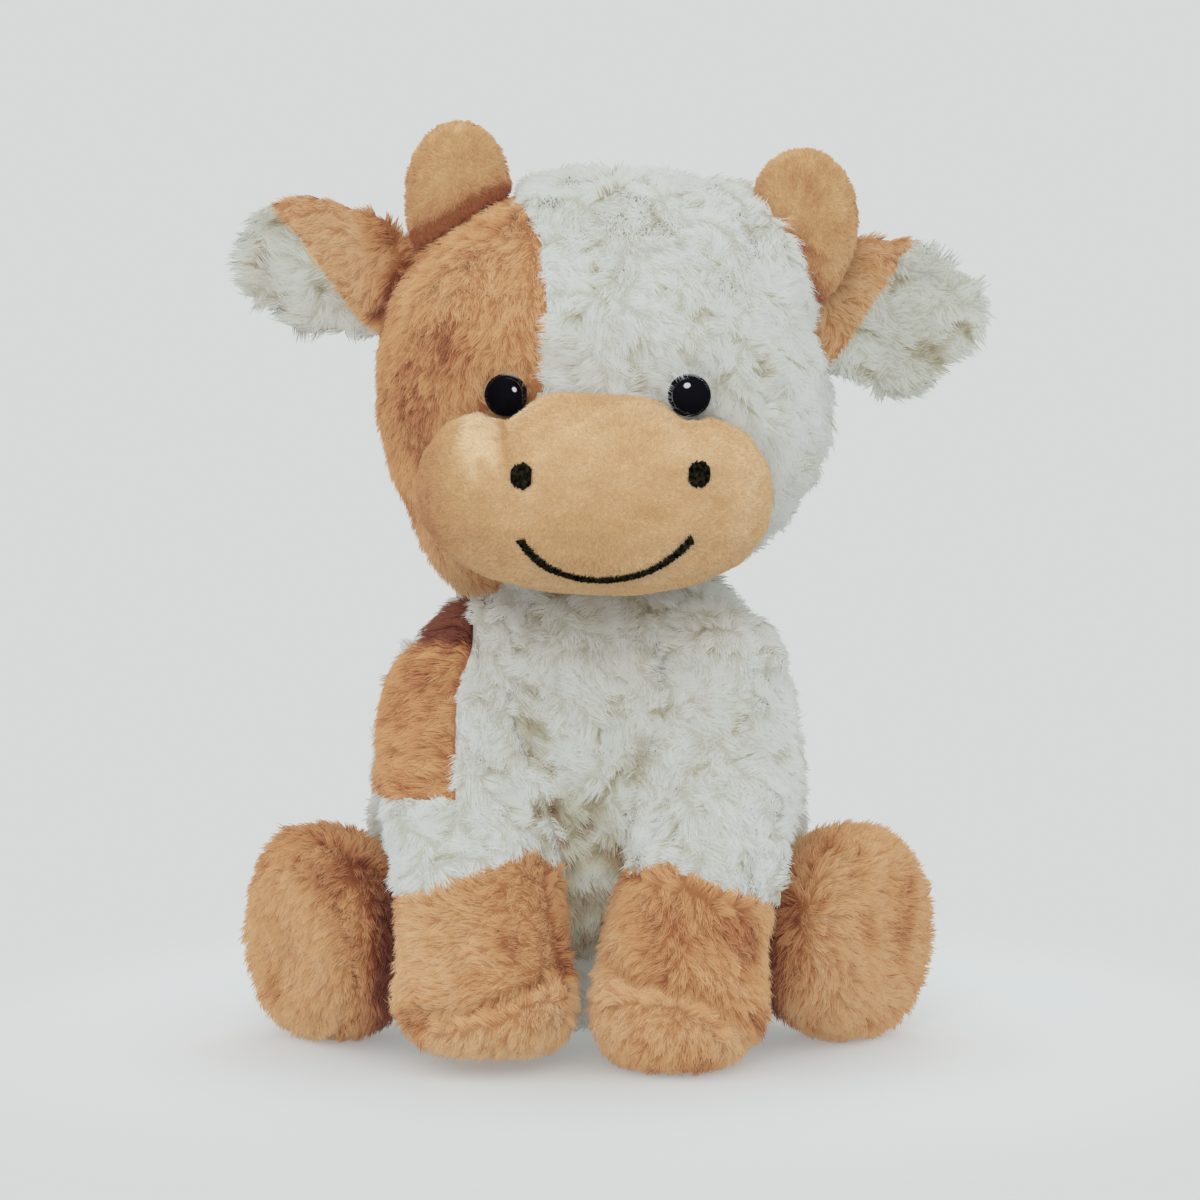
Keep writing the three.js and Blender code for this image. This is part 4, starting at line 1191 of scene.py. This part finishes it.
# The smile: stem stitches that overlap along a curve, thicker towards its ends
SMILE = np.array([
    (-26.2, 152.9), (-23.0, 148.6), (-17.3, 144.6), (-11.5, 142.1), (-5.7, 141.0), (0.7, 141.9), (5.7, 142.8),
    (11.4, 144.6), (17.2, 148.9), (21.9, 153.6),
])
places = np.concatenate([[0], np.cumsum(np.linalg.norm(np.diff(SMILE, axis=0), axis=1))])
fit = [np.polyfit(places, SMILE[:, axis], 4) for axis in range(2)]
smile = []
for at in np.arange(0, places[-1], 0.5):
    x, z = (np.polyval(f, at) for f in fit)
    dx, dz = (np.polyval(np.polyder(f), at) for f in fit)
    thick = 0.9 + 0.35 * abs(2 * at / places[-1] - 1) ** 1.5
    angle = math.atan2(dz, dx) + math.radians(72) + threads.normal(0, 0.16)
    half = thick * threads.uniform(0.8, 1.2)
    ends = [(x + k * half * math.cos(angle), z + k * half * math.sin(angle)) for k in (-1, -0.5, 0, 0.5, 1)]
    smile.append(muzzle_stitch(ends, (0.35, 0.55, 0.62, 0.55, 0.35), 0.34))
thread_piece("smile_thread", smile, "head", DARK_THREAD, ["smile_embroidery"])

# The nostrils: satin stitches side by side over an oval
for side, centre in {"right": (-25.8, 170.7), "left": (23.6, 171.0)}.items():
    satin = []
    for shift in np.arange(-2.7, 2.71, 0.4):
        half = 3.6 * math.sqrt(max(0.2, 1 - (shift / 3.3) ** 2)) * threads.uniform(0.86, 1.08)
        ends = [(centre[0] + shift + 0.1 * k, centre[1] + k * half) for k in (-1, -0.6, 0, 0.6, 1)]
        satin.append(muzzle_stitch(ends, (0.3, 0.6, 0.75, 0.6, 0.3), 0.36))
    thread_piece(f"nostril_{side}_thread", satin, "head", DARK_THREAD, [f"nostril_{side}"])

# The seams of the soles: short stitches across the groove
for side in SIDES:
    form = HIND_FORMS[side]
    tree = tree_of(form)
    way = LEG_WAYS[side]
    middle = HIPS[side] + seam_place(side, HIPS[side][2]) * way
    level = np.cross(way, [0.0, 0.0, 1.0])
    climb = unit(np.array([0.0, 0.0, 1.0]) + SEAM_LEAN * way * (side == "right"))
    stitches = []
    for turn in np.arange(0, 2 * np.pi, 0.1):
        out = math.cos(turn) * level + math.sin(turn) * climb
        line = []
        for step, lift in ((-0.9, 1.7), (-0.5, 2.1), (0.0, 2.3), (0.5, 2.1), (0.9, 1.7)):
            lift = lift if side == "right" else 0.1
            at = middle + way * (step + threads.normal(0, 0.12)) + out * 60
            place, normal, _, _ = tree.ray_cast(at.tolist(), (-out).tolist())
            if place is not None:
                line.append(np.array(place) + np.array(normal) * lift)
        if len(line) == 5 and line[2][1] < -25 and 20 < line[2][2] < 52:
            stitches.append(tube(line, 0.15))
    thread_piece(f"sole_{side}_stitches", stitches, f"hindleg_{side}", SEAM_THREAD)

# Eyes: glossy domes
eye_material, eye_tree, eye_shader, _ = grained_material(
    "eye_gloss", 0.06, 0.5, 60, [(0.4, (8, 8, 11)), (0.6, (13, 13, 18))]
)
set_inputs(eye_tree, eye_shader, {"Coat Weight": 0.3, "Coat Roughness": 0.03})


def ball(name, centre, radii, rings, turns):
    """A closed ellipsoid whose poles are its front and its back."""
    lift = np.linspace(0, np.pi, rings + 1)[1:-1, None]
    turn = np.arange(turns) * 2 * np.pi / turns
    depth = -np.cos(lift) * np.ones(turns)
    shell = np.stack([np.sin(lift) * np.cos(turn), depth, np.sin(lift) * np.sin(turn)], 2)
    shell = np.concatenate([shell.reshape(-1, 3), [(0, -1, 0), (0, 1, 0)]])
    faces = [(face[0], *face[:0:-1]) for face in shell_faces(rings - 1, turns)]
    return mesh_of_faces(name, centre + shell * radii, faces, unit(shell / radii))


washer_material, *_ = grained_material(
    "washer_plastic", 0.5, 0.4, 80, [(0.4, (226, 226, 222)), (0.6, (238, 238, 236))]
)
for side in SIDES:
    eye = ball(f"eye_{side}_dome", EYES[side], EYE_RADII, 28, 56)
    place_piece(eye, eye_material, "head", [f"eye_{side}"])
    washer = frame["nodes"][f"eye_washer_{side}"].data
    washer.materials.clear()
    washer.materials.append(washer_material)


# Studio

def aim(obj, place, target):
    obj.location = place
    obj.rotation_euler = (Vector(target) - Vector(place)).to_track_quat("-Z", "Y").to_euler()


def add_area(name, place, target, size, power):
    light = bpy.data.lights.new(name, "AREA")
    light.shape = "DISK"
    light.size = size
    light.energy = power
    obj = add_object(name, light)
    aim(obj, place, target)
    return obj


TARGET = Vector((-0.00403, 0.00584, 0.12887))
CAMERA_DISTANCE = 1.3
camera = add_object("camera", bpy.data.cameras.new("camera"))
camera.data.sensor_width = 36
camera.data.lens = 130
camera.data.clip_start = 0.05
camera.data.clip_end = 50
rise = math.radians(5)
aim(camera, TARGET + Vector((0, -math.cos(rise), math.sin(rise))) * CAMERA_DISTANCE, TARGET)
scene.camera = camera

add_area("key", (-0.3, -1.9, 0.95), (0, 0, 0.12), 1.4, 9).visible_glossy = False
for side, place, size in (("right", (0.27, -0.386, 0.394), 0.2), ("left", (-0.056, -0.385, 0.549), 0.26)):
    spark = add_area(f"spark_{side}", place, EYES[side] / SCALE, size, 28 * size ** 2)
    only = bpy.data.collections.new(f"eye_{side}_only")
    only.objects.link(bpy.data.objects[f"eye_{side}_dome"])
    spark.light_linking.receiver_collection = only
add_area("rim", (0.2, 1.2, 1.2), (0, 0, 0.15), 1.0, 3)

BACKDROP = colour(215, 217, 216)
DARK_ROOM = colour(36, 38, 45)
DARK_FLOOR = colour(40, 42, 48)


def for_rays(tree, kind, usual, special):
    """The usual shader, but the special one for one kind of light ray."""
    return add_node(tree, "MixShader", {"Fac": add_node(tree, "LightPath", {}, kind), 1: usual, 2: special})


world = bpy.data.worlds.new("studio")
scene.world = world
world.use_nodes = True
tree = world.node_tree
usual = tree.nodes["Background"]
set_inputs(tree, usual, {"Color": (1, 1, 1, 1), "Strength": 0.78})
lit = usual.outputs["Background"]
for kind, shade in (("Is Glossy Ray", DARK_ROOM), ("Is Camera Ray", BACKDROP)):
    lit = for_rays(tree, kind, lit, add_node(tree, "Background", {"Color": shade}))
set_inputs(tree, tree.nodes["World Output"], {"Surface": lit})

floor_mesh = bpy.data.meshes.new("floor")
floor_mesh.from_pydata([(-3, -3, 0), (3, -3, 0), (3, 3, 0), (-3, 3, 0)], [], [(0, 1, 2, 3)])
floor = add_object("floor", floor_mesh)
floor_material, tree, shader = material_of("floor", 0.9, 0.0)
set_inputs(tree, shader, {"Base Color": colour(234, 239, 240)})
glow = add_node(tree, "Emission", {"Color": BACKDROP})
place = add_node(tree, "TexCoord", {}, "Object")
reach = add_node(tree, "VectorMath", {0: place}, "Value", operation="LENGTH")
fade = add_node(
    tree, "MapRange", {"Value": reach, "From Min": 0.11, "From Max": 0.25, "To Min": 0.35},
    interpolation_type="SMOOTHSTEP",
)
both = add_node(tree, "MixShader", {"Fac": fade, 1: shader.outputs["BSDF"], 2: glow})
surface = for_rays(tree, "Is Glossy Ray", both, add_node(tree, "BsdfDiffuse", {"Color": DARK_FLOOR}))
set_inputs(tree, tree.nodes["Material Output"], {"Surface": surface})
floor_mesh.materials.append(floor_material)

scene.view_settings.view_transform = "Standard"
